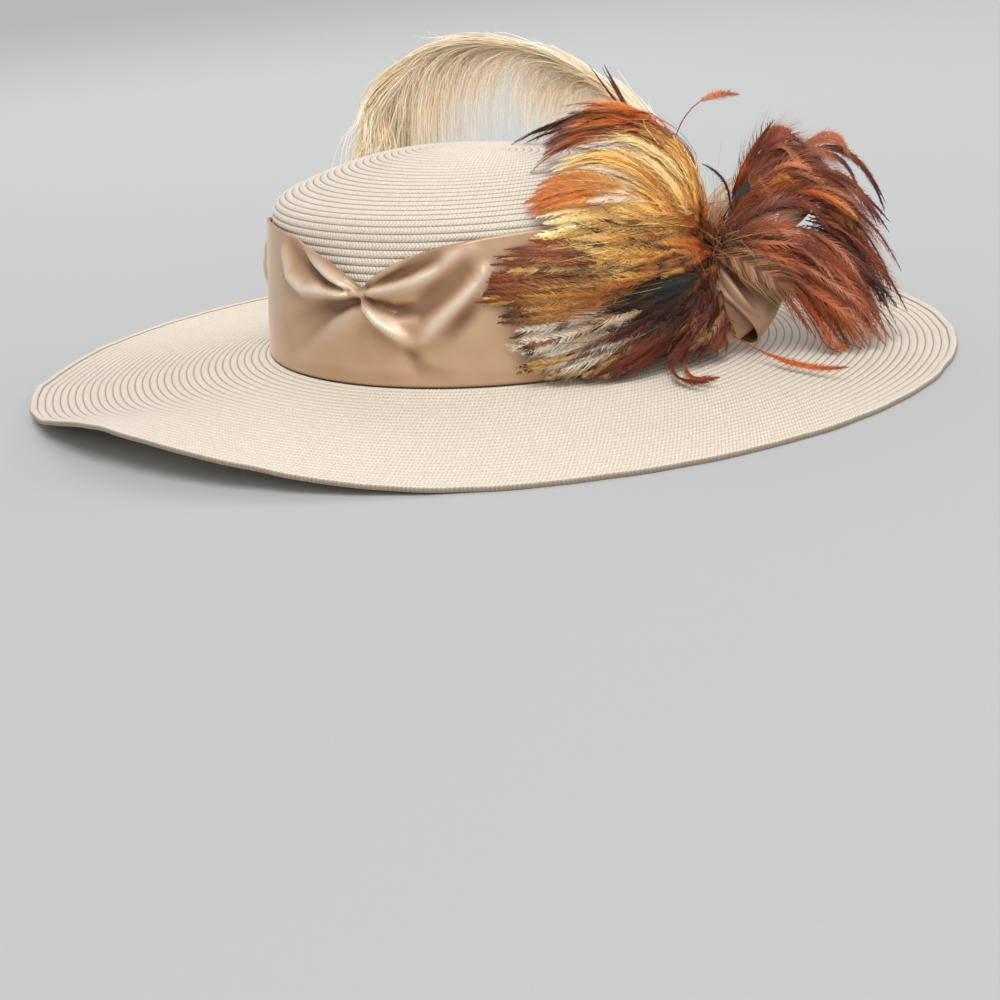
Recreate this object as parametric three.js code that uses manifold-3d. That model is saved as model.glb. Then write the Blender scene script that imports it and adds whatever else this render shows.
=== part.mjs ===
// A wide-brimmed straw boater trimmed with a pinched satin band, a satin bow and feathers.
// Millimetres, +Z up. The front of the hat is towards -Y and the wearer's left is +X.
// The origin is the middle of the brim's oval, on the surface that the brim rests on.
// Angles go round the hat in degrees: 0 at the front, 90 at the wearer's left, 180 at the back.

import * as THREE from 'three';
import { mergeVertices } from 'three/addons/utils/BufferGeometryUtils.js';
import Module from 'manifold-3d';

const wasm = await Module();
wasm.setup();

// Straw crown and brim
const crownHalfWidth = 85.5;
const crownHalfLength = 101.5;
const crownSideHeight = 59.5;
const crownTaper = 6.7;
const shoulderRadius = 10;
const rimSlope = 22;
const strawWall = 2.2;
const brimWidth = 108.7;
const brimDrop = 9.3;
const sideRise = 16;

// Satin band and bow
const ribbonWidth = 62;
const satinWall = 1.2;
const pinchDepth = 0.35;
const pinchReach = 15;
const foldRise = 4;
const knotAngle = 15;
const knotPlace = 0.6;
const knotHalfWidth = 9;
const knotHalfHeight = 12;
const bowReach = 64;
const bowRibbonWidth = 34;

// Feathers
const hackleReach = 100;
const hackleLift = 20;
const hackleWidth = 21;
const hackleThickness = 6;
const coqueReach = 76;
const coqueWidth = 16;
const coqueThickness = 4.5;
const plumeLift = 48;
const plumeWidth = 24;
const plumeThickness = 8;
const barbWidth = 36;
const barbDrop = 44;
const barbReach = 22;

// Clearance between pieces that touch, and the grid that cut pieces' corners lie on
const fit = 0.3;
const cutGrid = 0.01;

// The crown's foot stands as high as the brim's top beside it, and the knot on the band's face.
const baseHeight = strawWall + brimDrop;
const knotHeight = ribbonWidth * knotPlace;
const bandFace = fit + satinWall;
const knotLift = bandFace + knotHalfWidth * 0.95;
const brimFlatShare = 0.93;
const crownSides = 48;
const brimSides = 60;
const bandSides = 72;

// Waves of the brim's edge: where each is, how far it spreads each way, its share of sideRise.
const brimWaves = [
  { angle: 98, halfWidth: 46, rise: 1 },
  { angle: 261.6, halfWidth: 51.6, rise: 1 },
  { angle: 243, halfWidth: 22, rise: -0.36 },
];

// Places where the band is gathered.
const pinches = [{ angle: -81 }, { angle: 99 }, { angle: 189 }];

// Folds that run out from each pinch: direction on the band's face, spread, share of foldRise.
const folds = [
  { direction: 152, spread: 13, rise: 1 },
  { direction: 192, spread: 15, rise: 0.8 },
  { direction: 8, spread: 13, rise: 0.9 },
  { direction: 44, spread: 12, rise: 0.8 },
  { direction: -44, spread: 12, rise: 0.7 },
];

const radians = THREE.MathUtils.degToRad;
const upward = new THREE.Vector3(0, 0, 1);

// Difference of two angles, from -180 to 180 degrees.
function turnBetween(angle, other) {
  return THREE.MathUtils.euclideanModulo(angle - other + 180, 360) - 180;
}

// Point of an oval round the hat that lies outset millimetres outside the crown's base.
function ovalPoint(angle, outset, height) {
  const turn = radians(angle);
  const x = (crownHalfWidth + outset) * Math.sin(turn);
  const y = -(crownHalfLength + outset) * Math.cos(turn);
  return new THREE.Vector3(x, y, height);
}

// Lengths of the crown's outer profile: the side, the shoulder's arc and the way to the middle.
const sideRun = Math.hypot(crownTaper, crownSideHeight);
const shoulderTurn = radians(90 - rimSlope);
const shoulderRun = shoulderRadius * shoulderTurn;
const rimInset = crownTaper + shoulderRadius * (1 - Math.cos(shoulderTurn));
const rimHeight = crownSideHeight + shoulderRadius * Math.sin(shoulderTurn);
const tipReach = crownHalfWidth - rimInset;
const tipDome = Math.tan(radians(rimSlope)) * tipReach / 2;
const crownRun = sideRun + shoulderRun + tipReach;

// The crown's outer profile at a distance run up from the base: how far it has come in, its
// height over the base, and the outward and upward parts of its normal.
function crownProfile(run) {
  if (run <= sideRun) {
    const share = run / sideRun;
    const out = crownSideHeight / sideRun;
    return { inset: crownTaper * share, height: crownSideHeight * share, out, up: crownTaper / sideRun };
  }
  if (run <= sideRun + shoulderRun) {
    const turn = (run - sideRun) / shoulderRadius;
    const inset = crownTaper + shoulderRadius * (1 - Math.cos(turn));
    const height = crownSideHeight + shoulderRadius * Math.sin(turn);
    return { inset, height, out: Math.cos(turn), up: Math.sin(turn) };
  }
  const left = Math.max(0, 1 - (run - sideRun - shoulderRun) / tipReach);
  const slope = 2 * tipDome * left / tipReach;
  const length = Math.hypot(slope, 1);
  const height = rimHeight + tipDome * (1 - left * left);
  return { inset: crownHalfWidth - tipReach * left, height, out: slope / length, up: 1 / length };
}

// Point that lies lift millimetres off the crown's outer face.
function crownPoint(angle, run, lift) {
  const profile = crownProfile(run);
  const height = baseHeight + profile.height + lift * profile.up;
  return ovalPoint(angle, lift * profile.out - profile.inset, height);
}

// Height that the waves add to the brim's edge.
function edgeRise(angle) {
  let rise = 0;
  for (const wave of brimWaves) {
    const away = Math.abs(turnBetween(angle, wave.angle)) / wave.halfWidth;
    if (away < 1) {
      rise += wave.rise * sideRise * Math.cos(Math.PI / 2 * away) ** 2;
    }
  }
  return rise;
}

// Height of the brim's underside at a share of its width from the crown.
function brimUnderside(angle, share) {
  const fall = Math.max(0, 1 - share / brimFlatShare) ** 1.4;
  return brimDrop * fall + edgeRise(angle) * share ** 1.8;
}

// Closed body from positions and triangles, with its faces turned outwards.
function closedGeometry(points, triangles) {
  const positions = new Float32Array(points.length * 3);
  points.forEach((point, index) => point.toArray(positions, index * 3));
  let volume = 0;
  const cross = new THREE.Vector3();
  for (let index = 0; index < triangles.length; index += 3) {
    const [a, b, c] = [points[triangles[index]], points[triangles[index + 1]], points[triangles[index + 2]]];
    volume += a.dot(cross.crossVectors(b, c));
  }
  return geometryFrom(positions, volume > 0 ? triangles : triangles.slice().reverse());
}

// Body of rings of points joined one to the next. It closes on itself, or a cap ends it.
function ringsGeometry(rings, closesOnItself) {
  const size = rings[0].length;
  const points = rings.flat();
  const triangles = [];
  const joins = closesOnItself ? rings.length : rings.length - 1;
  for (let ring = 0; ring < joins; ring += 1) {
    const here = ring * size;
    const next = ((ring + 1) % rings.length) * size;
    for (let side = 0; side < size; side += 1) {
      const along = (side + 1) % size;
      triangles.push(here + side, here + along, next + along);
      triangles.push(here + side, next + along, next + side);
    }
  }
  if (!closesOnItself) {
    for (const end of [0, rings.length - 1]) {
      const middle = new THREE.Vector3();
      rings[end].forEach((point) => middle.addScaledVector(point, 1 / size));
      const centre = points.push(middle) - 1;
      for (let side = 0; side < size; side += 1) {
        const first = end * size + side;
        const second = end * size + (side + 1) % size;
        triangles.push(centre, ...(end === 0 ? [second, first] : [first, second]));
      }
    }
  }
  return closedGeometry(points, triangles);
}

function solidOf(geometry) {
  const plain = geometry.clone();
  plain.deleteAttribute('normal');
  plain.deleteAttribute('uv');
  const merged = mergeVertices(plain, 1e-5);
  const vertProperties = new Float32Array(merged.attributes.position.array);
  const triVerts = new Uint32Array(merged.index.array);
  return new wasm.Manifold(new wasm.Mesh({ numProp: 3, vertProperties, triVerts }));
}

function largestPiece(solid) {
  const pieces = solid.decompose();
  pieces.sort((first, second) => second.volume() - first.volume());
  return pieces[0].getMesh();
}

function geometryFrom(positions, triangles) {
  const geometry = new THREE.BufferGeometry();
  geometry.setAttribute('position', new THREE.BufferAttribute(positions, 3));
  geometry.setIndex(triangles);
  return geometry;
}

// Geometry of a solid's largest piece, with its corners on a fine grid. Triangles that shrink to
// a line there go, and so do pairs that then lie back to back.
function geometryOf(solid) {
  const cut = largestPiece(solid);
  const snapped = Float32Array.from(cut.vertProperties, (value) => Math.round(value / cutGrid) * cutGrid);
  const merged = mergeVertices(geometryFrom(snapped, Array.from(cut.triVerts)), cutGrid / 10);
  const faces = new Map();
  for (let corner = 0; corner < merged.index.count; corner += 3) {
    const face = [0, 1, 2].map((step) => merged.index.getX(corner + step));
    if (new Set(face).size === 3) {
      const key = face.slice().sort((first, second) => first - second).join(' ');
      faces.set(key, faces.has(key) ? null : face);
    }
  }
  merged.setIndex(Array.from(faces.values()).filter(Boolean).flat());
  const piece = largestPiece(solidOf(merged));
  return geometryFrom(new Float32Array(piece.vertProperties), Array.from(piece.triVerts));
}

function anglesOf(sides) {
  return Array.from({ length: sides }, (_, side) => side * 360 / sides);
}

// Straw crown: a cup with a slightly domed tip, open below, made grow millimetres fatter outside.
function crownGeometry(grow) {
  const tipShares = [0.8, 0.5, 0.22];
  const tipRuns = tipShares.map((share) => sideRun + shoulderRun + tipReach * share);
  const shoulderRuns = [1, 2 / 3, 1 / 3].map((share) => sideRun + shoulderRun * share);
  const runs = [...tipRuns, ...shoulderRuns, sideRun, 0];
  const angles = anglesOf(crownSides);
  const outer = runs.map((run) => angles.map((angle) => crownPoint(angle, run, grow)));
  const inner = runs.map((run) => angles.map((angle) => crownPoint(angle, run, -strawWall)));
  const footOuter = angles.map((angle) => ovalPoint(angle, grow, brimDrop));
  const footInner = angles.map((angle) => ovalPoint(angle, -strawWall, brimDrop));
  return ringsGeometry([...outer, footOuter, footInner, ...inner.reverse()], false);
}

// Straw brim: a wavy oval plate round the crown's foot, made grow millimetres fatter all round.
function brimGeometry(grow) {
  const shares = [0, 0.2, 0.4, 0.6, 0.8, brimFlatShare, 1];
  const rings = [];
  const addRing = (share, offset) => {
    const edge = share === 1 ? grow : 0;
    const outset = fit + (brimWidth - fit) * share + edge;
    rings.push(anglesOf(brimSides).map((angle) => {
      return ovalPoint(angle, outset, brimUnderside(angle, share) + offset);
    }));
  };
  shares.forEach((share) => addRing(share, strawWall + grow));
  shares.slice().reverse().forEach((share) => addRing(share, -grow));
  return ringsGeometry(rings, true);
}

// Share of the ribbon's width that the band covers: it drops to each pinch.
function bandShare(angle) {
  let share = 1;
  for (const pinch of pinches) {
    share -= pinchDepth * Math.exp(-Math.abs(turnBetween(angle, pinch.angle)) / pinchReach);
  }
  return share;
}

// How far the folds lift the band off the crown, at a run up the crown's side.
function bandPuff(angle, run) {
  let puff = 0;
  for (const pinch of pinches) {
    const across = radians(turnBetween(angle, pinch.angle)) * crownHalfLength;
    const rise = run - ribbonWidth * (1 - pinchDepth);
    const distance = Math.hypot(across, rise) / ribbonWidth;
    const direction = THREE.MathUtils.radToDeg(Math.atan2(rise, across));
    for (const fold of folds) {
      const away = turnBetween(direction, fold.direction) / fold.spread;
      puff += foldRise * fold.rise * Math.exp(-away * away) * 8 * distance * Math.exp(-5 * distance);
    }
  }
  return puff;
}

// Satin band: one turn of wide ribbon round the crown, gathered at the pinches.
function bandGeometry(grow) {
  const shares = [0, 0.25, 0.45, 0.65, 0.85, 1];
  const rings = [];
  const addRing = (share, inside) => {
    rings.push(anglesOf(bandSides).map((angle) => {
      const top = ribbonWidth * bandShare(angle) + grow;
      const run = fit - grow + (top - fit + grow) * share;
      const lift = fit + bandPuff(angle, run) + (inside ? -grow : satinWall + grow);
      return crownPoint(angle, run, lift);
    }));
  };
  shares.forEach((share) => addRing(share, false));
  shares.slice().reverse().forEach((share) => addRing(share, true));
  return ringsGeometry(rings, true);
}

// Strip with a flat lens section, along a path that gives a point, a side and a face direction.
function stripGeometry(path, steps, halfWidthAt, halfThicknessAt) {
  const rings = [];
  for (let step = 0; step <= steps; step += 1) {
    const share = step / steps;
    const { point, side, face } = path(share);
    const halfWidth = halfWidthAt(share);
    const halfThickness = halfThicknessAt(share);
    const corners = [[1, 0], [0, 1], [-1, 0], [0, -1]];
    rings.push(corners.map(([across, through]) => point.clone()
      .addScaledVector(side, across * halfWidth)
      .addScaledVector(face, through * halfThickness)));
  }
  return ringsGeometry(rings, false);
}

// Path frame of a function that gives points: the width lies square to the given facing.
function framedPath(pointAt, facingAt) {
  return (share) => {
    const point = pointAt(share);
    const along = pointAt(share + 0.01).sub(pointAt(share - 0.01)).normalize();
    const side = new THREE.Vector3().crossVectors(along, facingAt(share)).normalize();
    const face = new THREE.Vector3().crossVectors(side, along).normalize();
    return { point, side, face };
  };
}

// A feather lock's outline: narrow at its root, full past the middle and narrow again at its tip.
function featherHalfWidth(width, share) {
  const swell = Math.sin(Math.PI * (0.14 + share * 0.77) ** 0.8);
  return width / 2 * (0.12 + 0.88 * swell);
}

// Lock of feathers over the crown: a curve of angle, run and lift, from a root to a tip.
function crownLock(root, tip, width, thickness, grow) {
  const start = new THREE.Vector3(root.angle, root.run, root.lift);
  const end = start.clone();
  end.x += THREE.MathUtils.radToDeg(tip.along * hackleReach / crownHalfLength);
  end.y += tip.up * hackleReach;
  end.z = tip.lift * hackleLift;
  const bend = start.clone().lerp(end, 0.5);
  bend.z = Math.max(start.z, end.z) + tip.arch * hackleLift;
  bend.y += tip.sweep * hackleReach;
  const curve = new THREE.QuadraticBezierCurve3(start, bend, end);
  const pointAt = (share) => {
    const place = curve.getPoint(share);
    return crownPoint(place.x, place.y, place.z);
  };
  const facingAt = (share) => {
    const place = curve.getPoint(share);
    return crownPoint(place.x, place.y, place.z + 1).sub(crownPoint(place.x, place.y, place.z));
  };
  const halfWidthAt = (share) => featherHalfWidth(width, share) + grow;
  const halfThicknessAt = (share) => thickness / 2 * (1 - 0.75 * share) + grow;
  return stripGeometry(framedPath(pointAt, facingAt), 5, halfWidthAt, halfThicknessAt);
}

// Directions at the knot: out from the crown, along the band, and up.
const knotOut = new THREE.Vector3(Math.sin(radians(knotAngle)), -Math.cos(radians(knotAngle)), 0);
const knotAlong = new THREE.Vector3(-knotOut.y, knotOut.x, 0);

// Point at distances from a centre, measured in the knot's directions.
function fromKnot(centre, along, out, up) {
  return centre.clone()
    .addScaledVector(knotAlong, along)
    .addScaledVector(knotOut, out)
    .addScaledVector(upward, up);
}

// Lock of feathers in the open air, from a root to a tip given by shares of coqueReach from it.
function airLock(root, tip, width, thickness, grow) {
  const [along, out, up] = [tip.along, tip.out, tip.up].map((share) => share * coqueReach);
  const end = fromKnot(root, along, out, up);
  const bend = fromKnot(root, along * tip.early, out * tip.early, up / 2 + tip.arch * coqueReach);
  const curve = new THREE.QuadraticBezierCurve3(root, bend, end);
  const facing = knotOut.clone().addScaledVector(knotAlong, -0.5).addScaledVector(upward, 0.6);
  const path = framedPath((share) => curve.getPoint(share), () => facing);
  const halfWidthAt = (share) => featherHalfWidth(width, share) + grow;
  const halfThicknessAt = (share) => thickness / 2 * (1 - 0.7 * share) + grow;
  return stripGeometry(path, 6, halfWidthAt, halfThicknessAt);
}

// Rounded body at the root of a piece, its long way up.
function headGeometry(centre, halfWidth, halfHeight, grow) {
  const geometry = new THREE.SphereGeometry(1, 12, 8);
  geometry.rotateX(Math.PI / 2);
  geometry.scale(halfWidth + grow, halfWidth + grow, halfHeight + grow);
  geometry.translate(centre.x, centre.y, centre.z);
  return geometry;
}

function joined(geometries) {
  return geometries.map(solidOf).reduce((whole, solid) => whole.add(solid));
}

const knotCentre = crownPoint(knotAngle, knotHeight, knotLift);

function knotSolid(grow) {
  return solidOf(headGeometry(knotCentre, knotHalfWidth, knotHalfHeight, grow));
}

// Loops of the bow: where the tip is from the knot and how far the two limbs part, as shares of
// bowReach, the width as a share of bowRibbonWidth, and the roll about the loop's own length.
const bowLoops = {
  bow_loop_upper: { along: 0.84, out: 0.41, up: 0.34, spread: 0.27, width: 1, roll: 20 },
  bow_loop_lower: { along: 0.16, out: 0.47, up: -0.42, spread: 0.19, width: 0.94, roll: -48 },
  bow_loop_front: { along: -0.08, out: 0.31, up: -0.52, spread: 0.14, width: 0.74, roll: -60 },
};

// Ribbon loop: a drop-shaped strip of satin whose two ends lie side by side in the knot.
function loopSolid(loop, grow) {
  const tip = fromKnot(new THREE.Vector3(), loop.along, loop.out, loop.up).multiplyScalar(bowReach);
  const reach = tip.length();
  const forward = tip.clone().normalize();
  const level = new THREE.Vector3().crossVectors(upward, forward).normalize();
  const raised = new THREE.Vector3().crossVectors(forward, level);
  const turn = radians(loop.roll);
  const parting = raised.multiplyScalar(Math.cos(turn)).addScaledVector(level, Math.sin(turn));
  const across = new THREE.Vector3().crossVectors(forward, parting).normalize();
  const rings = [];
  const steps = 16;
  for (let step = 0; step <= steps; step += 1) {
    const phase = 2 * Math.PI * (0.03 + 0.94 * step / steps);
    const open = Math.sin(phase / 2);
    const middleAt = (angle) => {
      const far = reach * (1 - Math.cos(angle)) / 2;
      const parted = loop.spread * bowReach * Math.sin(angle) * Math.sin(angle / 2);
      const apart = parted + satinWall * Math.cos(angle / 2);
      return knotCentre.clone().addScaledVector(forward, far).addScaledVector(parting, apart);
    };
    const along = middleAt(phase + 0.01).sub(middleAt(phase - 0.01)).normalize();
    const face = new THREE.Vector3().crossVectors(across, along);
    const halfWidth = loop.width * bowRibbonWidth / 2 * (0.4 + 0.6 * open) + grow;
    const halfWall = satinWall / 2 + grow;
    const corners = [[1, 1], [-1, 1], [-1, -1], [1, -1]];
    rings.push(corners.map(([wide, through]) => middleAt(phase)
      .addScaledVector(across, wide * halfWidth)
      .addScaledVector(face, through * halfWall)));
  }
  return solidOf(ringsGeometry(rings, false));
}

// Hackle feathers: where each lock's tip is from its root, round the crown and up its face, and how
// far it sweeps up on the way, as shares of hackleReach; its lift and its arch as shares of hackleLift.
const goldRoot = { angle: knotAngle - 3, run: knotHeight + knotHalfHeight * 0.9, lift: hackleLift * 0.7 };
const goldLocks = [
  { along: -0.9, up: 0.04, sweep: 0.08, lift: 0.2, arch: 0.2 },
  { along: -0.85, up: 0.15, sweep: 0.1, lift: 0.2, arch: 0.25 },
  { along: -0.78, up: 0.25, sweep: 0.1, lift: 0.25, arch: 0.35 },
  { along: -0.66, up: 0.36, sweep: 0.08, lift: 0.35, arch: 0.5 },
  { along: -0.46, up: 0.46, sweep: 0.04, lift: 0.55, arch: 0.7 },
  { along: -0.21, up: 0.5, sweep: 0, lift: 1, arch: 0.7 },
];
const brownRoot = { angle: knotAngle - 5, run: knotHeight - knotHalfHeight / 2, lift: hackleLift * 0.75 };
const brownLocks = [
  { along: -0.94, up: 0.14, sweep: 0.06, lift: 0.2, arch: 0.15 },
  { along: -0.99, up: 0.05, sweep: 0.03, lift: 0.2, arch: 0.2 },
  { along: -0.96, up: -0.05, sweep: 0, lift: 0.25, arch: 0.2 },
  { along: -0.92, up: -0.17, sweep: 0, lift: 0.3, arch: 0.2 },
  { along: -0.81, up: -0.27, sweep: -0.02, lift: 0.4, arch: 0.2 },
  { along: -0.57, up: -0.3, sweep: -0.04, lift: 0.7, arch: 0.2 },
  { along: -0.25, up: -0.31, sweep: -0.04, lift: 1, arch: 0.15 },
];
const tuftLift = bandFace + hackleThickness * 0.8;
const tuftRoot = { angle: knotAngle + 6, run: knotHeight + knotHalfHeight * 1.6, lift: tuftLift };
const tuftLocks = [
  { along: 0.48, up: 0.51, sweep: 0, lift: 0.4, arch: 0.8 },
  { along: 0.73, up: 0.61, sweep: 0, lift: 0.2, arch: 0.8 },
  { along: 0.94, up: 0.47, sweep: 0, lift: 0.35, arch: 0.8 },
];

// Coque feathers: where each lock's tip is from the root and how far it arches, as shares of
// coqueReach, how early in its length it has gone out, and its share of coqueWidth.
const coqueLocks = [
  { along: 0.16, out: 0.24, up: 0.58, arch: 0.11, early: 0.5, width: 0.9 },
  { along: 0.41, out: 0.37, up: 0.55, arch: 0.21, early: 0.5, width: 1 },
  { along: 0.59, out: 0.53, up: 0.37, arch: 0.37, early: 0.6, width: 1.2 },
  { along: 0.63, out: 0.66, up: 0.08, arch: 0.47, early: 0.65, width: 1.2 },
  { along: 0.57, out: 0.74, up: -0.22, arch: 0.45, early: 0.65, width: 1.2 },
  { along: 0.43, out: 0.76, up: -0.46, arch: 0.32, early: 0.62, width: 1.8 },
  { along: 0.26, out: 0.66, up: -0.53, arch: 0.18, early: 0.6, width: 1.2 },
  { along: 0.66, out: 0.45, up: -0.16, arch: 0.26, early: 0.6, width: 1.4 },
];

// Ostrich plume: its rib rises from beside the knot, arches along the crown's far side and droops.
// Each place is an angle, a share of the crown's whole profile and a share of plumeLift.
const plumeRib = [
  { angle: 30, run: 0.4, lift: 0.12 },
  { angle: 60, run: 0.5, lift: 0.29 },
  { angle: 88, run: 0.53, lift: 0.7 },
  { angle: 114, run: 0.54, lift: 0.98 },
  { angle: 134, run: 0.535, lift: 0.96 },
  { angle: 146, run: 0.5, lift: 0.7 },
  { angle: 151, run: 0.445, lift: 0.29 },
];

// Hanging barbs of the plume: place along the rib, which side, and share of barbDrop.
const plumeBarbs = [
  { place: 0.28, side: 1, drop: 0.5 },
  { place: 0.36, side: -1, drop: 0.5 },
  { place: 0.42, side: 1, drop: 0.75 },
  { place: 0.5, side: -1, drop: 0.8 },
  { place: 0.56, side: 1, drop: 0.9 },
  { place: 0.64, side: -1, drop: 0.95 },
  { place: 0.7, side: 1, drop: 1 },
  { place: 0.78, side: -1, drop: 1 },
  { place: 0.84, side: 1, drop: 0.95 },
];

function fanSolid(root, locks, grow) {
  const centre = crownPoint(root.angle, root.run, root.lift);
  const pieces = [headGeometry(centre, hackleThickness, hackleThickness, grow)];
  locks.forEach((tip) => pieces.push(crownLock(root, tip, hackleWidth, hackleThickness, grow)));
  return joined(pieces);
}

function spraySolid(grow) {
  const root = fromKnot(knotCentre, knotHalfWidth / 2, knotHalfWidth, knotHalfHeight / 4);
  const pieces = [headGeometry(root, coqueThickness, coqueThickness, grow)];
  coqueLocks.forEach((tip) => pieces.push(airLock(root, tip, coqueWidth * tip.width, coqueThickness, grow)));
  return joined(pieces);
}

function plumeSolid(grow) {
  const ribPoints = plumeRib.map(({ angle, run, lift }) => {
    return new THREE.Vector3(angle, run * crownRun, lift * plumeLift);
  });
  const rib = new THREE.CatmullRomCurve3(ribPoints);
  const pointAt = (share) => {
    const place = rib.getPoint(THREE.MathUtils.clamp(share, 0, 1));
    return crownPoint(place.x, place.y, place.z);
  };
  const path = framedPath(pointAt, () => upward);
  const ribWidth = (share) => plumeWidth / 2 * Math.min(1, 0.16 + share * 2) * (1 - 0.5 * share ** 4) + grow;
  const ribThickness = (share) => plumeThickness / 2 * Math.min(1, 0.4 + share) + grow;
  const pieces = [stripGeometry(path, 14, ribWidth, ribThickness)];
  for (const barb of plumeBarbs) {
    const { point, side } = path(barb.place);
    const outward = side.clone().setZ(0).normalize().multiplyScalar(barb.side);
    const bend = point.clone().addScaledVector(outward, barbReach * 0.8);
    const end = point.clone().addScaledVector(outward, barbReach);
    end.z -= barbDrop * barb.drop;
    const curve = new THREE.QuadraticBezierCurve3(point, bend, end);
    const facingAt = (share) => outward.clone().multiplyScalar(share).addScaledVector(upward, 1 - share);
    const hang = framedPath((share) => curve.getPoint(share), facingAt);
    const halfWidthAt = (share) => barbWidth / 2 * (0.45 + 0.5 * Math.sin(Math.PI * share ** 0.7)) + grow;
    const halfThicknessAt = (share) => plumeThickness / 3 * (1 - 0.5 * share) + grow;
    pieces.push(stripGeometry(hang, 4, halfWidthAt, halfThicknessAt));
  }
  return joined(pieces);
}

const straw = { color: 0xe9dccb, roughness: 0.62, metalness: 0 };
const strawTip = { color: 0xede4d8, roughness: 0.6, metalness: 0 };
const satin = { color: 0xc9a883, roughness: 0.34, metalness: 0 };
const goldHackle = { color: 0xd29a45, roughness: 0.5, metalness: 0 };
const brownHackle = { color: 0x7a4a26, roughness: 0.5, metalness: 0 };
const rustHackle = { color: 0x8a3a1c, roughness: 0.5, metalness: 0 };
const copperCoque = { color: 0x7c3418, roughness: 0.4, metalness: 0 };
const creamPlume = { color: 0xe8d5b0, roughness: 0.7, metalness: 0 };

const group = new THREE.Group();

function addPiece(name, geometry, finish) {
  geometry.computeVertexNormals();
  const mesh = new THREE.Mesh(geometry, new THREE.MeshStandardMaterial(finish));
  mesh.name = name;
  group.add(mesh);
}

addPiece('crown', crownGeometry(0), strawTip);
addPiece('brim', brimGeometry(0), straw);
addPiece('ribbon_band', bandGeometry(0), satin);

// Each trimming is cut back from all that was placed before it, by the clearance.
let taken = solidOf(crownGeometry(fit)).add(solidOf(brimGeometry(fit))).add(solidOf(bandGeometry(fit)));

function addTrimming(name, solidFor, finish) {
  addPiece(name, geometryOf(solidFor(0).subtract(taken)), finish);
  taken = taken.add(solidFor(fit));
}

addTrimming('bow_knot', knotSolid, satin);
for (const [name, loop] of Object.entries(bowLoops)) {
  addTrimming(name, (grow) => loopSolid(loop, grow), satin);
}
addTrimming('gold_hackle_fan', (grow) => fanSolid(goldRoot, goldLocks, grow), goldHackle);
addTrimming('brown_hackle_fan', (grow) => fanSolid(brownRoot, brownLocks, grow), brownHackle);
addTrimming('rust_hackle_tuft', (grow) => fanSolid(tuftRoot, tuftLocks, grow), rustHackle);
addTrimming('coque_spray', spraySolid, copperCoque);
addTrimming('ostrich_plume', plumeSolid, creamPlume);

export default group;
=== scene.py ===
import math
import bpy
import numpy as np
from mathutils import Matrix, Quaternion, Vector


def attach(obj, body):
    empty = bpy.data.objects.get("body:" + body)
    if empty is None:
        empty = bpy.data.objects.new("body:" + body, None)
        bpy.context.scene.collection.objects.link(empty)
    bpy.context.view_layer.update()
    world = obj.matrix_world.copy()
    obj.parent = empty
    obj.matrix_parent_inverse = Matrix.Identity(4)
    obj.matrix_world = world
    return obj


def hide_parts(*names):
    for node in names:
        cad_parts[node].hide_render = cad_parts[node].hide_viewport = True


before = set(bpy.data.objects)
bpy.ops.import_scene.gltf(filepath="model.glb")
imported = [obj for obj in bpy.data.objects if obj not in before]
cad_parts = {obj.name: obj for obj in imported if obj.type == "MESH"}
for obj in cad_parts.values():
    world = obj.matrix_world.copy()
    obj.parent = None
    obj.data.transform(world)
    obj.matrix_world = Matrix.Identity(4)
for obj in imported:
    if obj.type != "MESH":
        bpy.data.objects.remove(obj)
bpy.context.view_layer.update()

rng = np.random.default_rng(11)
mm = 0.001


def addObject(name, data):
    thing = bpy.data.objects.new(name, data)
    bpy.context.scene.collection.objects.link(thing)
    return thing


# the camera looks down a little at the front right of the hat, and is tipped clockwise;
# places are in metres, lens and sensor in mm
cameraSet = {"place": (-0.6919, -0.6919, 0.2367), "aim": (-0.0132, -0.0136, -0.0596),
             "tipped": -5.77, "lens": 81.4, "sensor": 36}
camera = addObject("camera", bpy.data.cameras.new("camera"))
camera.data.lens = cameraSet["lens"]
camera.data.sensor_width = cameraSet["sensor"]
looking = (Vector(cameraSet["aim"]) - Vector(cameraSet["place"])).to_track_quat("-Z", "Y")
tipping = Quaternion((0, 0, 1), math.radians(cameraSet["tipped"]))
camera.matrix_world = Matrix.Translation(cameraSet["place"]) @ (looking @ tipping).to_matrix().to_4x4()
bpy.context.scene.camera = camera
print("camera set")


# helpers

def linearColour(hexCode):
    # sRGB hex to the linear colour that a shader works in
    parts = np.array([int(hexCode[i:i + 2], 16) for i in (1, 3, 5)]) / 255
    linear = np.where(parts <= 0.04045, parts / 12.92, ((parts + 0.055) / 1.055) ** 2.4)
    return np.append(linear, 1.0)


def addNode(tree, kind, inputs=None, **settings):
    # settings are the node's own; an input is a value, a hex colour, a socket or a node, which
    # stands for its first output
    node = tree.nodes.new("ShaderNode" + kind)
    for name, value in settings.items():
        setattr(node, name, value)
    for name, value in (inputs or {}).items():
        if isinstance(value, bpy.types.Node):
            value = value.outputs[0]
        if isinstance(value, bpy.types.NodeSocket):
            tree.links.new(value, node.inputs[name])
        else:
            node.inputs[name].default_value = linearColour(value) if isinstance(value, str) else value
    return node


def newMaterial(name, surface):
    # surface holds the Principled shader's own values
    material = bpy.data.materials.new(name)
    material.use_nodes = True
    tree = material.node_tree
    shader = tree.nodes["Principled BSDF"]
    for socket, value in surface.items():
        shader.inputs[socket].default_value = value
    return material, tree, shader


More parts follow.
